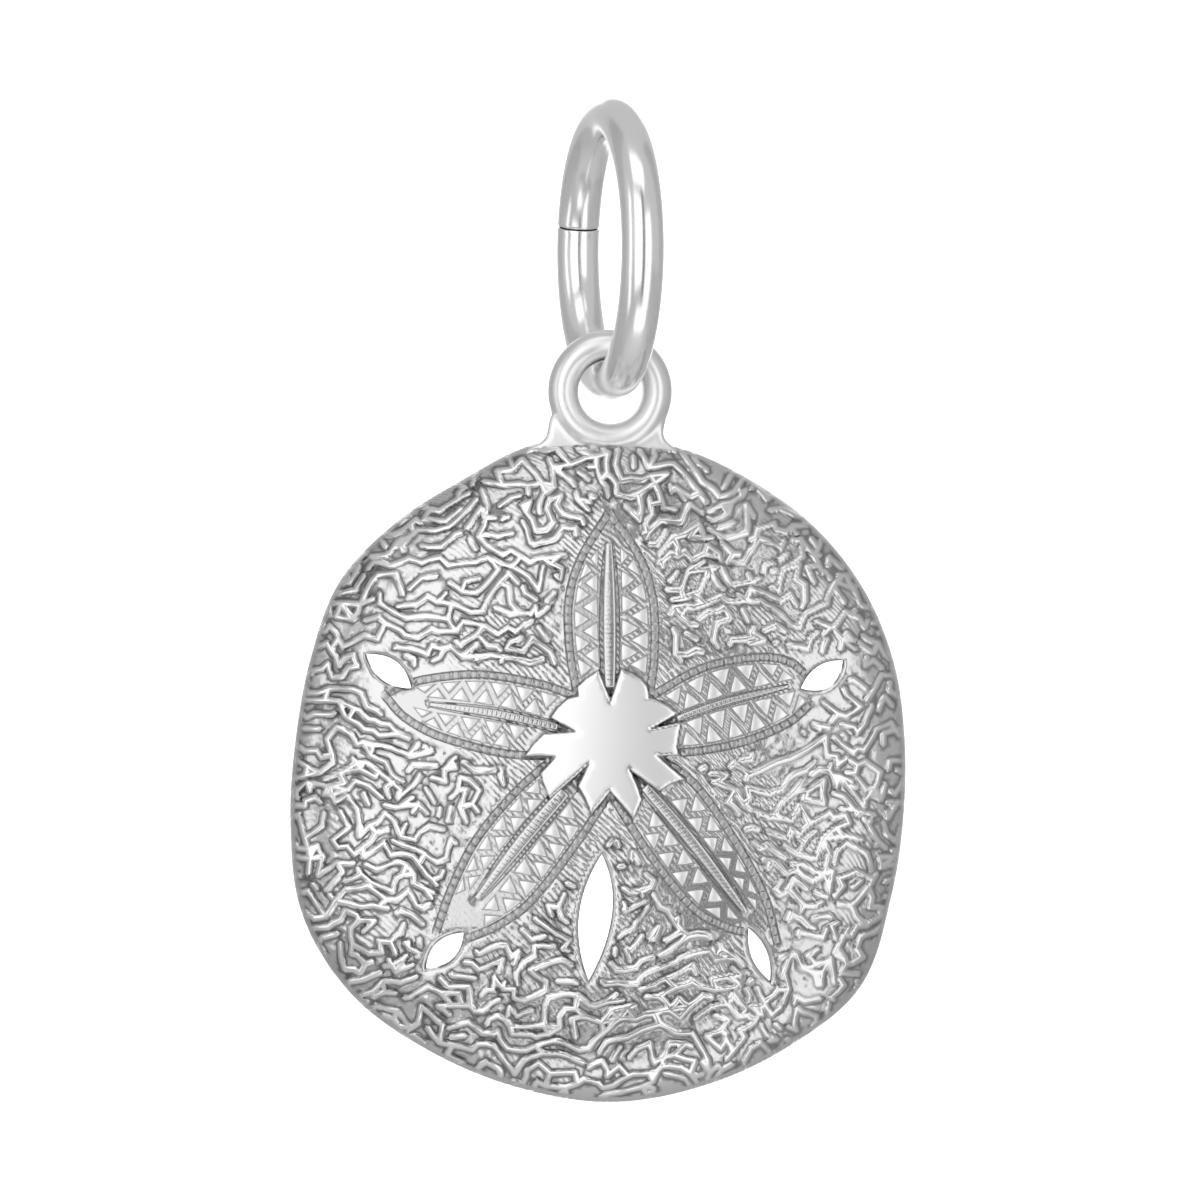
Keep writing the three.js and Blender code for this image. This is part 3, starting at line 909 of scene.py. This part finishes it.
def corner_places(node, index, out):
    """The points round a node, out from its ridges, between ridge index and the next one round."""
    others = around[node]
    here, after = (points[others[k % len(others)]] - points[node] for k in (index, index + 1))
    lengths = [np.linalg.norm(spoke) for spoke in (here, after)]
    here, after = here / lengths[0], after / lengths[1]
    wedge = (math.atan2(after[1], after[0]) - math.atan2(here[1], here[0])) % (2 * math.pi)
    if len(others) == 1:
        wedge = 2 * math.pi
    if wedge > BLUNT_FROM:
        turns = (math.pi / 2, wedge / 2, wedge - math.pi / 2)
        return [points[node] + out * turned(here, turn) for turn in turns]
    reach = min(out / math.sin(wedge / 2), 0.6 * min(lengths) + out)
    return [points[node] + reach * turned(here, wedge / 2)]


def lines_beside(out):
    """Adds the lines on both sides of every ridge, mitred where ridges meet."""
    for node, others in around.items():
        for index, other in enumerate(others):
            mine = corner_places(node, index, out)
            for p, q in zip(mine, mine[1:]):
                net_line(p, q, 0)
            back = around[other].index(node)
            theirs = corner_places(other, (back - 1) % len(around[other]), out)
            net_line(mine[0], theirs[-1])


lines_beside(FOOT_OUT)
lines_beside(SHOULDER_OUT)
for a, b in ridges:
    net_line(points[a], points[b])
print(len(net_points), "points and", len(net_edges), "edges along the ridges")

# %% Outlines and floors
RIM_SHARES = (0.972, 0.98, 0.987, 0.993, 0.9975, 1.0)
RIM_COUNT = 380
FLOOR_STEP = 0.078
PETAL_STEP = 0.11
FLOOR_CLEAR = 0.025
STAR_STEP = 0.09
STAR_GAP = 0.02
SLOT_GAP = 0.13
FLOOR_REACH = 0.965
SLOT_ROLL_WIDE = 0.11


def net_loop(loop):
    row = [net_point(place) for place in loop]
    net_edges.extend((a, b) for a, b in zip(row, row[1:] + row[:1]) if a != b)


def cut_fine(loop, step):
    """The loop with points added so that none of its sides is longer than step."""
    out = []
    for first, last in zip(loop, np.roll(loop, -1, axis=0)):
        count = max(1, math.ceil(math.dist(first, last) / step))
        out += [first + (last - first) * k / count for k in range(count)]
    return np.array(out)


for share in RIM_SHARES:
    net_loop(rim_loop(share, RIM_COUNT))
for slot, count in zip(SLOTS, slot_counts):
    for spread in (0, 0.05, SLOT_ROLL_WIDE):
        net_loop(slot_loop(slot, count, spread))
star_edge = cut_fine(star_loop, STAR_STEP)
net_loop(star_edge)

CHANNEL_HALF = 0.105
CHANNEL_WALL = 0.035
VEIN_CORE = 0.15
VEIN_OUT = 0.25
VEIN_WALL = 0.03
PETAL_ROWS = 44


def taper(share):
    """How wide a vein is along its length, as a share of its widest."""
    return 0.25 + 0.75 * np.sin(np.pi * np.clip(0.14 + 0.8 * share, 0, 1)) ** 0.7


def beside(path, out):
    """The path moved sideways by out, which may differ from point to point."""
    way = np.gradient(path, axis=0)
    way /= np.hypot(*way.T)[:, None]
    return path + np.stack([-way[:, 1], way[:, 0]], 1) * np.reshape(out, (-1, 1))


def slot_distance(places):
    """Distance to the nearest slot, below zero within one."""
    return np.min([signed_distance(places, loop) for loop in slot_loops], 0)


def clear_of(places, star_gap, slot_gap):
    """True where a place is more than star_gap from the star and slot_gap or more from the slots."""
    off_star = signed_distance(places, star_loop) > star_gap
    return off_star & (slot_distance(places) >= slot_gap)


def net_path(path):
    """Adds a path to the net, where it runs clear of the star and the slots."""
    clear = clear_of(path, STAR_GAP, 0.12)
    for k in range(len(path) - 1):
        if clear[k] and clear[k + 1]:
            a, b = net_point(path[k]), net_point(path[k + 1])
            if a != b:
                net_edges.append((a, b))


vein_rows = [smooth_path(petal["vein"], PETAL_ROWS) for petal in PETALS]
border_rows = [
    smooth_path(petal[side], PETAL_ROWS) for petal in PETALS for side in ("left", "right")
]
vein_from = np.vstack([row[:-1] for row in vein_rows])
vein_to = np.vstack([row[1:] for row in vein_rows])
vein_taper = np.concatenate(
    [petal["vein_width"] * taper(np.linspace(0, 1, PETAL_ROWS - 1)) for petal in PETALS]
)
border_from = np.vstack([row[:-1] for row in border_rows])
border_to = np.vstack([row[1:] for row in border_rows])


def groove_lines(half, wall):
    """How far out the five lines of a groove run: its edges, the feet of its walls, its middle."""
    return (-half, wall - half, 0, half - wall, half)


for row in border_rows:
    for out in groove_lines(CHANNEL_HALF, CHANNEL_WALL):
        net_path(beside(row, out))
for petal, row in zip(PETALS, vein_rows):
    width = petal["vein_width"] * taper(np.linspace(0, 1, PETAL_ROWS))
    for out in groove_lines(VEIN_OUT, VEIN_WALL):
        net_path(beside(row, out * width))


def scattered(step, jitter):
    """A square grid of places over the disc, each nudged by up to jitter of a step."""
    axis = np.arange(-CLEAR_HALF, CLEAR_HALF, step)
    x, z = np.meshgrid(axis, axis)
    places = np.stack([x.ravel(), z.ravel()], 1)
    return places + draw.uniform(-jitter, jitter, places.shape) * step


def into_petals(places):
    """Distance into the nearest petal, below zero outside all of them."""
    return -np.min([signed_distance(places, loop) for loop in petal_loops], 0)


floor = scattered(FLOOR_STEP, 0.38)
floor = floor[rim_share(floor) < FLOOR_REACH]
floor = floor[into_petals(floor) < 0]
floor = floor[distance_to_lines(floor, border_from, border_to)[0] > CHANNEL_HALF + 0.03]
floor = floor[clear_of(floor, STAR_GAP, SLOT_GAP)]
floor = floor[distance_to_lines(floor, ridge_from, ridge_to)[0] > FOOT_OUT + FLOOR_CLEAR]
petal_floor = scattered(PETAL_STEP, 0.2)
petal_floor = petal_floor[into_petals(petal_floor) > 0.02]
petal_floor = petal_floor[clear_of(petal_floor, STAR_GAP, SLOT_GAP)]
star_top = scattered(STAR_STEP, 0.1)
star_top = star_top[signed_distance(star_top, star_loop) < -0.10]
quarter_turn = np.array([[0, -1], [1, 0]])
star_inset = [
    a + (b - a) @ quarter_turn / max(math.dist(a, b), 1e-9) * out
    for out in (0.035, 0.075)
    for a, b in zip(star_edge, np.roll(star_edge, -1, axis=0))
]
star_inset += [
    corner + 0.04 * np.array([math.cos(a), math.sin(a)]) for corner in star_loop for a in range(6)
]
star_inset = np.array(star_inset)
star_inset = star_inset[signed_distance(star_inset, star_loop) < -0.03]
for places in (floor, petal_floor, star_top, star_inset):
    for place in places:
        net_point(place)
print(len(net_points), "points for the whole front")

# %% [markdown]
# ## One net over the whole front
# A constrained triangulation joins all those points into triangles and keeps every line as an
# edge. Modelling with a grid and a displacement would blur each ridge over several cells, so
# this piece is made as a net in the flat, and each point is then lifted to its height: the dome,
# plus the ridge's profile, plus the star, less the hollows beside the slots and in the petals.

# %% Triangulate and lift
RIDGE_HEIGHT = 0.09
RIDGE_UNEVEN = 0.02
FLOOR_GRAIN = 0.009
PETAL_SUNK = 0.02
VEIN_GROOVE = 0.07
CHANNEL_DEEP = 0.07
STAR_PROUD = 0.02
STAR_PILLOW = 0.08
STAR_REACH = 1.9
SLOT_ROLL = 0.07
SAME_POINT = 1e-5
RIGHT_LOWER = 0.32
# The painted shade and the painted highlight on polished crests are weaker on the right.
RIGHT_LESS_PAINTED_SHADE = 0.2
RIGHT_LESS_POLISH_AND_HIGHLIGHT = 0.45
CREST_POLISH = 0.85
# How strong the painted shade is in the grooves, on the petal floors and along the star's edge.
GROOVE_PAINTED_SHADE = 0.5
PETAL_PAINTED_SHADE = 0.1
STAR_EDGE_PAINTED_SHADE = 0.9
STAR_LINE_HALF = 0.02

flat_points, _, flat_faces, *_ = delaunay_2d_cdt(
    [Vector(p) for p in net_points], net_edges, [], 0, SAME_POINT
)
flat = np.array([(p.x, p.y) for p in flat_points])
faces = np.array([face for face in flat_faces if len(face) == 3])
middles = flat[faces].mean(1)
on_disc = within(middles, rim_loop(1, RIM_COUNT))
for slot, count in zip(SLOTS, slot_counts):
    on_disc &= ~within(middles, slot_loop(slot, count))
faces = faces[on_disc]
used = np.unique(faces)
renumber = np.full(len(flat), -1)
renumber[used] = np.arange(len(used))
flat, faces = flat[used], renumber[faces]


def smooth_step(value, low, high):
    t = np.clip((value - low) / (high - low), 0, 1)
    return t * t * (3 - 2 * t)


def relief(places):
    """Height above the plain dome, then how much painted shade each place has and how polished it
    is, from 0 to 1.
    """
    from_ridge = distance_to_lines(places, ridge_from, ridge_to)[0]
    x, z = places.T
    wave = np.sin(3.1 * x + 1.7 * z) + np.sin(2.3 * z - 4.1 * x)
    tall = (RIDGE_HEIGHT + RIDGE_UNEVEN * wave / 2) * smooth_step(-rim_share(places), -0.998, -0.985)
    rightward = np.clip(x / 4, 0, 1)
    tall *= 1 - RIGHT_LOWER * rightward
    profile = np.interp(from_ridge, (0, SHOULDER_OUT, FOOT_OUT - 0.01), (1, 0.96, 0))
    height = tall * profile
    into_star = -signed_distance(places, star_loop)
    into_petal = into_petals(places)
    on_star = into_star > -0.004
    in_field = (into_petal < 0) & ~on_star & (rim_share(places) < 0.985)
    on_floor = in_field & (profile <= 0)
    grain = draw.uniform(-1, 1, len(places)) * FLOOR_GRAIN
    height += np.where(on_floor & (from_ridge > FOOT_OUT + 0.01), grain, 0)
    from_border = distance_to_lines(places, border_from, border_to)[0]
    from_vein, nearest = distance_to_lines(places, vein_from, vein_to)
    from_vein = from_vein / vein_taper[nearest]
    channel = 1 - smooth_step(from_border, CHANNEL_HALF - CHANNEL_WALL, CHANNEL_HALF)
    groove = (1 - smooth_step(from_vein, VEIN_OUT - VEIN_WALL, VEIN_OUT)) * (into_petal > -0.02)
    grooved = np.where(on_star, 0, np.maximum(channel, groove))
    height -= PETAL_SUNK * smooth_step(into_petal, -0.02, 0.1) * ~on_star
    height -= np.where(on_star, 0, np.maximum(CHANNEL_DEEP * channel, VEIN_GROOVE * groove))
    height += np.where(on_star, STAR_PROUD * smooth_step(into_star, 0, 0.06), 0)
    from_centre = np.hypot(x, z)
    height += STAR_PILLOW * np.clip(1 - (from_centre / STAR_REACH) ** 2, 0, 1) * on_star
    height -= SLOT_ROLL * (1 - np.clip(slot_distance(places) / SLOT_ROLL_WIDE, 0, 1)) ** 2
    # Painted shade on the ridges' slopes and feet, lighter to the right.
    reach = (0, SHOULDER_OUT, FOOT_OUT - 0.01, FOOT_OUT + 0.012, FOOT_OUT + 0.035)
    corner = np.where(in_field, np.interp(from_ridge, reach, (0, 0.06, 0.7, 1.0, 0)), 0)
    corner *= 1 - RIGHT_LESS_PAINTED_SHADE * rightward
    # The star and the crests are buffed; the crests' fade to the right is a painted highlight
    # weakening.
    buffed = np.where(on_star, smooth_step(into_star, 0.02, 0.05), 0)
    on_top = in_field * (from_ridge < 1.1 * SHOULDER_OUT)
    buffed = np.maximum(buffed, CREST_POLISH * on_top * (1 - RIGHT_LESS_POLISH_AND_HIGHLIGHT * rightward))
    # Painted shade on the sunk petal floors.
    petal_shade = PETAL_PAINTED_SHADE * smooth_step(into_petal, 0, 0.1) * ~on_star
    # Painted shade: a dark line along the star's edge, where it steps down.
    star_edge_shade = STAR_EDGE_PAINTED_SHADE * (np.abs(into_star) < STAR_LINE_HALF)
    # Painted shade in the grooves joins the other painted shade here.
    grey = np.maximum.reduce([corner, GROOVE_PAINTED_SHADE * grooved, petal_shade, star_edge_shade])
    return height, grey, buffed


height, painted_shade_amount, polish_and_highlight = relief(flat)
front_y = dome_y(flat) - height
print(len(flat), "points,", len(faces), "triangles in the front")

# %% [markdown]
# ## From the net to a solid disc
# The lifted net is only a skin. Its rim is extruded straight back, then drawn in a little so
# that the back edge is rounded. The slots' walls go straight through. The open loops left at the
# back all lie in one plane, and a fill closes them round the slots.

# %% The disc's sides and back
BACK_STEPS = ((0.25, 1.0), (0.45, 0.9995), (0.55, 0.9965), (BACK_Y, 0.988), (BACK_Y, 0.978))

disc = piece_from(
    "disc",
    np.stack([flat[:, 0], front_y, flat[:, 1] + ROSETTE_Z], 1),
    [(a, b, c) for a, b, c in faces],
)
# These attributes carry the painted shade, and how polished each place is with its painted
# highlight.
for name, values in (("painted_shade_amount", painted_shade_amount), ("polish_and_highlight", polish_and_highlight)):
    mark = disc.data.attributes.new(name, "FLOAT", "POINT")
    mark.data.foreach_set("value", values.astype(np.float32))
face_outward()
centre_normal = disc.data.polygons[len(faces) // 2].normal
if centre_normal.y > 0:
    disc.data.flip_normals()


def open_edges(mesh):
    """The numbers of the edges that only one face has."""
    edge_of = np.zeros(len(mesh.loops), int)
    mesh.loops.foreach_get("edge_index", edge_of)
    return np.flatnonzero(np.bincount(edge_of, minlength=len(mesh.edges)) == 1)


def select_edges(piece, numbers):
    """Edge mode, with just these edges selected."""
    pick(piece)
    bpy.ops.object.mode_set(mode="EDIT")
    bpy.ops.mesh.select_mode(type="EDGE")
    bpy.ops.mesh.select_all(action="DESELECT")
    bpy.ops.object.mode_set(mode="OBJECT")
    for number in numbers:
        piece.data.edges[int(number)].select = True
    bpy.ops.object.mode_set(mode="EDIT")


def extrude_open(piece, choose, place):
    """Extrudes the open edges that choose picks, and moves each new vertex to where place says."""
    numbers = [n for n in open_edges(piece.data) if choose(piece.data, piece.data.edges[int(n)])]
    select_edges(piece, numbers)
    bpy.ops.mesh.extrude_edges_move()
    bpy.ops.object.mode_set(mode="OBJECT")
    moved = [vertex for vertex in piece.data.vertices if vertex.select]
    for vertex in moved:
        vertex.co = place(vertex.co)
    return len(moved)


def on_rim(mesh, edge):
    ends = np.array([mesh.vertices[v].co for v in edge.vertices])
    return rim_share(np.stack([ends[:, 0], ends[:, 2] - ROSETTE_Z], 1)).min() > 0.95


def in_slot(mesh, edge):
    return not on_rim(mesh, edge)


def toward_back(y, share):
    """A way to move a rim vertex: to depth y, drawn in to a share of its distance out."""
    def place(co):
        return Vector((co.x * share, y, (co.z - ROSETTE_Z) * share + ROSETTE_Z))

    return place


def straight_back(co):
    return Vector((co.x, BACK_Y, co.z))


for y, share in BACK_STEPS:
    print(extrude_open(disc, on_rim, toward_back(y, share)), "vertices moved to y", y)
print(extrude_open(disc, in_slot, straight_back), "vertices on the slots' back edges")
select_edges(disc, open_edges(disc.data))
bpy.ops.mesh.fill(use_beauty=True)
face_outward()
print("open edges left:", len(open_edges(disc.data)))
behind_front = BACK_Y - RIM_THICK + 0.01
two_finishes(disc, struck_silver, cast_silver, lambda face: face.center.y > behind_front)
finished(disc, "sand_dollar_disc", None, "charm", "sand_dollar", 50)
for face in disc.data.polygons:
    if face.normal.y > 0.999:
        face.use_smooth = False

# %% [markdown]
# ## Beads, ribs and studs
# The petals' borders look like a plaited rope, their veins are finely ribbed, and between them
# lie two rows of small three-cornered studs, point against point. Each is modelled once: a bead
# or a rib is a cube with bevelled edges, and a stud is a three-sided prism with its top inset
# and raised. Copies are then laid along the lines, each turned to the dome and stretched to its
# own place, and joined. Arrays along a curve would keep every copy the same size, and the real
# ones taper with the petal.

# %% One bead and one stud
STUD_TOP_FROM = 0.8


def bead_form(rounding):
    """A rounded block one unit long, wide and high."""
    nothing_selected()
    bpy.ops.mesh.primitive_cube_add(size=1)
    bead = bpy.context.object
    bpy.ops.object.mode_set(mode="EDIT")
    bpy.ops.mesh.bevel(offset=rounding, segments=3, affect="EDGES")
    bpy.ops.object.mode_set(mode="OBJECT")
    return bead


def stud_form():
    """A three-cornered prism, its corners one unit out, with a buffed top and a foot in painted
    shade.
    """
    nothing_selected()
    bpy.ops.mesh.primitive_cylinder_add(vertices=3, radius=1, depth=1, location=(0, 0, 0))
    stud = bpy.context.object
    bpy.ops.object.mode_set(mode="EDIT")
    bpy.ops.mesh.select_mode(type="FACE")
    bpy.ops.mesh.select_all(action="DESELECT")
    bpy.ops.object.mode_set(mode="OBJECT")
    for face in stud.data.polygons:
        face.select = face.normal.z > 0.9
    bpy.ops.object.mode_set(mode="EDIT")
    bpy.ops.mesh.inset(thickness=0.07, depth=0)
    bpy.ops.mesh.inset(thickness=0.04, depth=0)
    bpy.ops.transform.translate(value=(0, 0, 0.35))
    bpy.ops.mesh.inset(thickness=0.08, depth=0)
    bpy.ops.transform.translate(value=(0, 0, 0.12))
    bpy.ops.object.mode_set(mode="OBJECT")
    # The stud's foot is in painted shade, which outlines each stud dark.
    two_finishes(stud, buffed_silver, painted_shade_silver, lambda face: face.center.z < STUD_TOP_FROM)
    return stud


def outward(place, nudge=1e-3):
    """The way out of the dome at a place, as a vector."""
    x, z = place
    around_it = np.array([(x + nudge, z), (x - nudge, z), (x, z + nudge), (x, z - nudge)])
    y = dome_y(around_it)
    return Vector(((y[0] - y[1]) / 2 / nudge, -1, (y[2] - y[3]) / 2 / nudge)).normalized()


def on_dome(place, height=0.0):
    y = float(dome_y(np.array([place]))[0])
    return Vector((place[0], y, place[1] + ROSETTE_Z)) + outward(place) * height


def laid(form, moves, name):
    """One mesh of copies of form, each moved by its own matrix."""
    copies = []
    for move in moves:
        copy = form.copy()
        copy.data = form.data.copy()
        copy.data.transform(move)
        bpy.context.scene.collection.objects.link(copy)
        copies.append(copy)
    nothing_selected()
    for copy in copies:
        copy.select_set(True)
    bpy.context.view_layer.objects.active = copies[0]
    bpy.ops.object.join()
    bpy.data.objects.remove(form)
    face_outward()
    joined = bpy.context.object
    joined.name = name
    return joined


def along(path, pitch, start):
    """Places every pitch along a path from start, each with its direction and share of the way."""
    steps = np.hypot(*np.diff(path, axis=0).T)
    run = lengths_along(path)
    rows = []
    for s in np.arange(start, run[-1], pitch):
        k = min(int(np.searchsorted(run, s, side="right")) - 1, len(steps) - 1)
        way = (path[k + 1] - path[k]) / steps[k]
        rows.append((path[k] + way * (s - run[k]), way, s / run[-1]))
    return rows


def matrix_of(columns):
    """The matrix that moves a form by four columns: its three sides, then its place."""
    return Matrix([[c[r] for c in columns] for r in range(3)] + [[0, 0, 0, 1]])


def turned_to(place, way, long, wide, high, lift):
    """Stands a unit form on the dome: long along way, wide across it, its middle lifted."""
    out = outward(place)
    ahead = Vector((way[0], 0, way[1]))
    ahead = (ahead - out * ahead.dot(out)).normalized()
    across = out.cross(ahead)
    return matrix_of((ahead * long, across * wide, out * high, on_dome(place, lift)))


# %% Rope borders and ribbed veins
BEAD_PITCH = 0.21
BEAD_LONG = 0.2
BEAD_WIDE = 0.18
BEAD_HIGH = 0.1
BEAD_LIFT = -0.108
RIB_PITCH = 0.105
RIB_LONG = 0.26
RIB_HIGH = 0.2
RIB_LIFT = -0.09
RIB_START = 0.42
NOTCH_KEEP = 0.12
BEAD_START = 0.12

bead_moves = []
for petal in PETALS:
    for side in ("left", "right"):
        path = smooth_path(petal[side], 60)
        for place, way, _ in along(path, BEAD_PITCH, BEAD_START):
            if not clear_of(place[None], 0.05, 0.1)[0]:
                continue
            wide = BEAD_WIDE * draw.uniform(0.9, 1.08)
            lift = BEAD_LIFT + draw.uniform(-0.008, 0.008)
            bead_moves.append(turned_to(place, way, BEAD_LONG, wide, BEAD_HIGH, lift))
ropes = laid(bead_form(0.3), bead_moves, "ropes")
# The rope borders are greyed with painted shade.
finished(ropes, "petal_borders", painted_shade_silver, "charm", "sand_dollar", 60)

rib_moves = []
for petal in PETALS:
    path = smooth_path(petal["vein"], 60)
    for place, way, share in along(path, RIB_PITCH, RIB_START):
        if signed_distance(place[None], star_loop)[0] < NOTCH_KEEP:
            continue
        wide = 2 * VEIN_CORE * petal["vein_width"] * float(taper(share))
        rib_moves.append(turned_to(place, way, RIB_LONG, wide, RIB_HIGH, RIB_LIFT))
veins = laid(bead_form(0.2), rib_moves, "veins")
finished(veins, "petal_veins", cast_silver, "charm", "sand_dollar", 60)
print(len(bead_moves), "beads and", len(rib_moves), "ribs")

# %% Studs between the vein and the borders
STUD_PITCH = 0.55
STUD_BASE = 0.5
STUD_REACH = 0.72
STUD_HIGH = 0.1
STUD_LIFT = -0.03
STUDS_BEYOND = 0.5
BORDER_KEEP = 0.13
NARROWEST_BAND = 0.22
PATH_POINTS = 80
STUD_CORNERS = (math.pi / 2, -5 * math.pi / 6, -math.pi / 6)

path_share = np.linspace(0, 1, PATH_POINTS)


def stud_to(corners):
    """Stretches a unit stud so that its three corners stand on the given places."""
    middle = corners.mean(0)
    unit = [(math.cos(a), math.sin(a), 1) for a in STUD_CORNERS]
    spread = np.linalg.solve(np.array(unit), corners).T
    out = outward(middle)
    columns = []
    for k in (0, 1):
        flat_way = Vector((spread[0, k], 0, spread[1, k]))
        columns.append(flat_way - Vector((0, flat_way.dot(out) / out.y, 0)))
    return matrix_of([*columns, out * STUD_HIGH, on_dome(middle, STUD_LIFT)])


def at_share(path, t):
    """The place on a path at share t of its points."""
    return np.array([np.interp(t, path_share, path[:, k]) for k in (0, 1)])


stud_moves = []
for petal in PETALS:
    last_two = np.array(petal["vein"][-2:])
    tail = last_two[1] + (last_two[1] - last_two[0]) * STUDS_BEYOND / math.dist(*last_two)
    vein = smooth_path([*petal["vein"], tail], PATH_POINTS)
    ahead = np.gradient(vein, axis=0)
    run = lengths_along(vein)
    for side in ("left", "right"):
        edge = smooth_path(petal[side], 400)
        square = np.abs(((edge[None] - vein[:, None]) * ahead[:, None]).sum(2)).argmin(1)
        span = edge[square] - vein
        wide = np.hypot(*span.T)
        groove = VEIN_OUT * petal["vein_width"] * taper(path_share) + 0.01
        inner = vein + span / wide[:, None] * groove[:, None]
        outer = edge[square] - span / wide[:, None] * BORDER_KEEP
        outside = signed_distance((inner + outer) / 2, star_loop) > 0.02
        middle_run = run[int(np.argmax(outside))]
        count = int((run[-1] - middle_run) / (STUD_PITCH / 2)) + 2
        for k in range(count):
            s = middle_run + STUD_PITCH * (0.3 + k / 2)
            before, here, after = (
                np.interp(s + d, run, path_share) for d in (-STUD_BASE / 2, 0, STUD_BASE / 2)
            )
            base_row, far_row = (inner, outer) if k % 2 else (outer, inner)
            first, last = at_share(base_row, before), at_share(base_row, after)
            foot, head = at_share(base_row, here), at_share(far_row, here)
            room = np.linalg.norm(head - foot)
            if room < NARROWEST_BAND or s + STUD_BASE / 2 > run[-1]:
                continue
            apex = foot + (head - foot) * min(STUD_REACH, 0.5 / room)
            corners = np.array([apex, first, last])
            if clear_of(corners, 0.015, 0.08).all():
                stud_moves.append(stud_to(corners))
studs = laid(stud_form(), stud_moves, "studs")
finished(studs, "petal_studs", None, "charm", "sand_dollar", 60)
print(len(stud_moves), "studs")

# %% [markdown]
# ## The eyelet
# The eyelet is a flattened ring cast in one with the disc. It grows out of the rim on a short
# neck that flares on both sides, with soft fillets where the caster's wax was smoothed. A
# boolean union would leave sharp creases there. So a torus and a neck block are joined, remeshed
# into one skin of small voxels, and smoothed until the creases turn into fillets.

# %% Eyelet and neck
EYELET_Z = -5.8
EYELET_MEAN = 1.075
EYELET_BAND = 0.7
EYELET_DEPTH = 0.84
NECK_FRONT = -0.26
NECK_BACK = 0.4
NECK_SIDES = [
    [(-1.2, -0.42), (-1.37, -0.6), (-1.42, -0.88), (-1.52, -1.12), (-1.9, -1.34), (-2.1, -1.6)],
    [(1.2, -0.42), (1.28, -0.62), (1.22, -0.9), (1.26, -1.1), (1.5, -1.32), (1.7, -1.6)],
]
VOXEL = 0.04

nothing_selected()
bpy.ops.mesh.primitive_torus_add(
    location=(0, 0, EYELET_Z), rotation=(UPRIGHT, 0, 0), major_segments=120,
    minor_segments=36, major_radius=EYELET_MEAN, minor_radius=EYELET_BAND / 2,
)
eyelet = bpy.context.object
eyelet.scale = (1, 1, EYELET_DEPTH / EYELET_BAND)
bpy.ops.object.transform_apply(location=True, rotation=True, scale=True)
around_hole = [
    (EYELET_MEAN * math.cos(math.radians(a)), EYELET_MEAN * math.sin(math.radians(a)))
    for a in range(335, 200, -10)
]
left_side, right_side = (smooth_path(side, 16) for side in NECK_SIDES)
outline = [*around_hole, *left_side, *right_side[::-1]]
neck = piece_from("neck", [(x, NECK_FRONT, z + EYELET_Z) for x, z in outline], [range(len(outline))])
bpy.ops.object.mode_set(mode="EDIT")
bpy.ops.mesh.select_all(action="SELECT")
bpy.ops.mesh.extrude_region_move(TRANSFORM_OT_translate={"value": (0, NECK_BACK - NECK_FRONT, 0)})
face_outward()
apply_modifier(neck, "BEVEL", width=0.15, segments=3, limit_method="ANGLE")
pick(eyelet)
neck.select_set(True)
bpy.ops.object.join()
apply_modifier(eyelet, "REMESH", mode="VOXEL", voxel_size=VOXEL, use_smooth_shade=True)
apply_modifier(eyelet, "SMOOTH", factor=0.5, iterations=24)
print("eyelet spans", [round(side, 2) for side in eyelet.dimensions], "mm")
finished(eyelet, "eyelet", buffed_silver, "charm", "sand_dollar", 80)

# %% [markdown]
# ## The jump ring
# The ring is a length of drawn round wire, wound on a rod, cut, and closed so that its two ends
# butt. A torus would have no joint. So one round section is spun round the ring's axis, a hair
# short of a full turn, which leaves both cut ends as flat faces. Their edges are bevelled, since
# a saw cut is always cleaned. The ring is then stood up and turned to its place.

# %% Jump ring
RING_ACROSS = 7.0
WIRE_THICK = 0.97
RING_YAW = math.radians(14.2)
JOINT_ANGLE = math.radians(167.9)
JOINT_GAP = 0.03
RING_Z = -2.56
WIRE_SIDES = 48
RING_STEPS = 200
BURR_CUT = 0.035

ring_radius = (RING_ACROSS - WIRE_THICK) / 2
gap_angle = JOINT_GAP / ring_radius
start = JOINT_ANGLE + gap_angle / 2
nothing_selected()
bpy.ops.mesh.primitive_circle_add(
    vertices=WIRE_SIDES, radius=WIRE_THICK / 2, fill_type="NGON",
    location=(ring_radius, 0, 0), rotation=(UPRIGHT, 0, 0),
)
ring = bpy.context.object
bpy.ops.object.transform_apply(location=True, rotation=True, scale=True)
ring.data.transform(Matrix.Rotation(start, 4, "Z"))
bpy.ops.object.mode_set(mode="EDIT")
bpy.ops.mesh.select_all(action="SELECT")
bpy.ops.mesh.spin(
    steps=RING_STEPS, angle=2 * math.pi - gap_angle, center=(0, 0, 0), axis=(0, 0, 1)
)
face_outward()
print("open edges on the ring:", len(open_edges(ring.data)))
caps = [face for face in ring.data.polygons if len(face.vertices) > 4]
cap_edges = {key for face in caps for key in face.edge_keys}
select_edges(ring, [edge.index for edge in ring.data.edges if edge.key in cap_edges])
bpy.ops.mesh.bevel(offset=BURR_CUT, segments=2, affect="EDGES")
bpy.ops.object.mode_set(mode="OBJECT")
# The cut ends carry a painted shadow for the dark joint line.
two_finishes(ring, wire_silver, joint_shadow_silver, lambda face: len(face.vertices) > 4)
ring.rotation_euler = (UPRIGHT, 0, RING_YAW - math.radians(90))
ring.location = (0, 0, RING_Z)
bpy.ops.object.transform_apply(location=True, rotation=True, scale=True)
finished(ring, "jump_ring_wire", None, "ring", "jump_ring", 50)

# %% Sizes and the end
low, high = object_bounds()
sizes = {"cad": [list(cad_low), list(cad_high)], "visual": [list(low), list(high)]}
print("visual box in mm:", [round(v / MM, 2) for v in (*low, *high)])
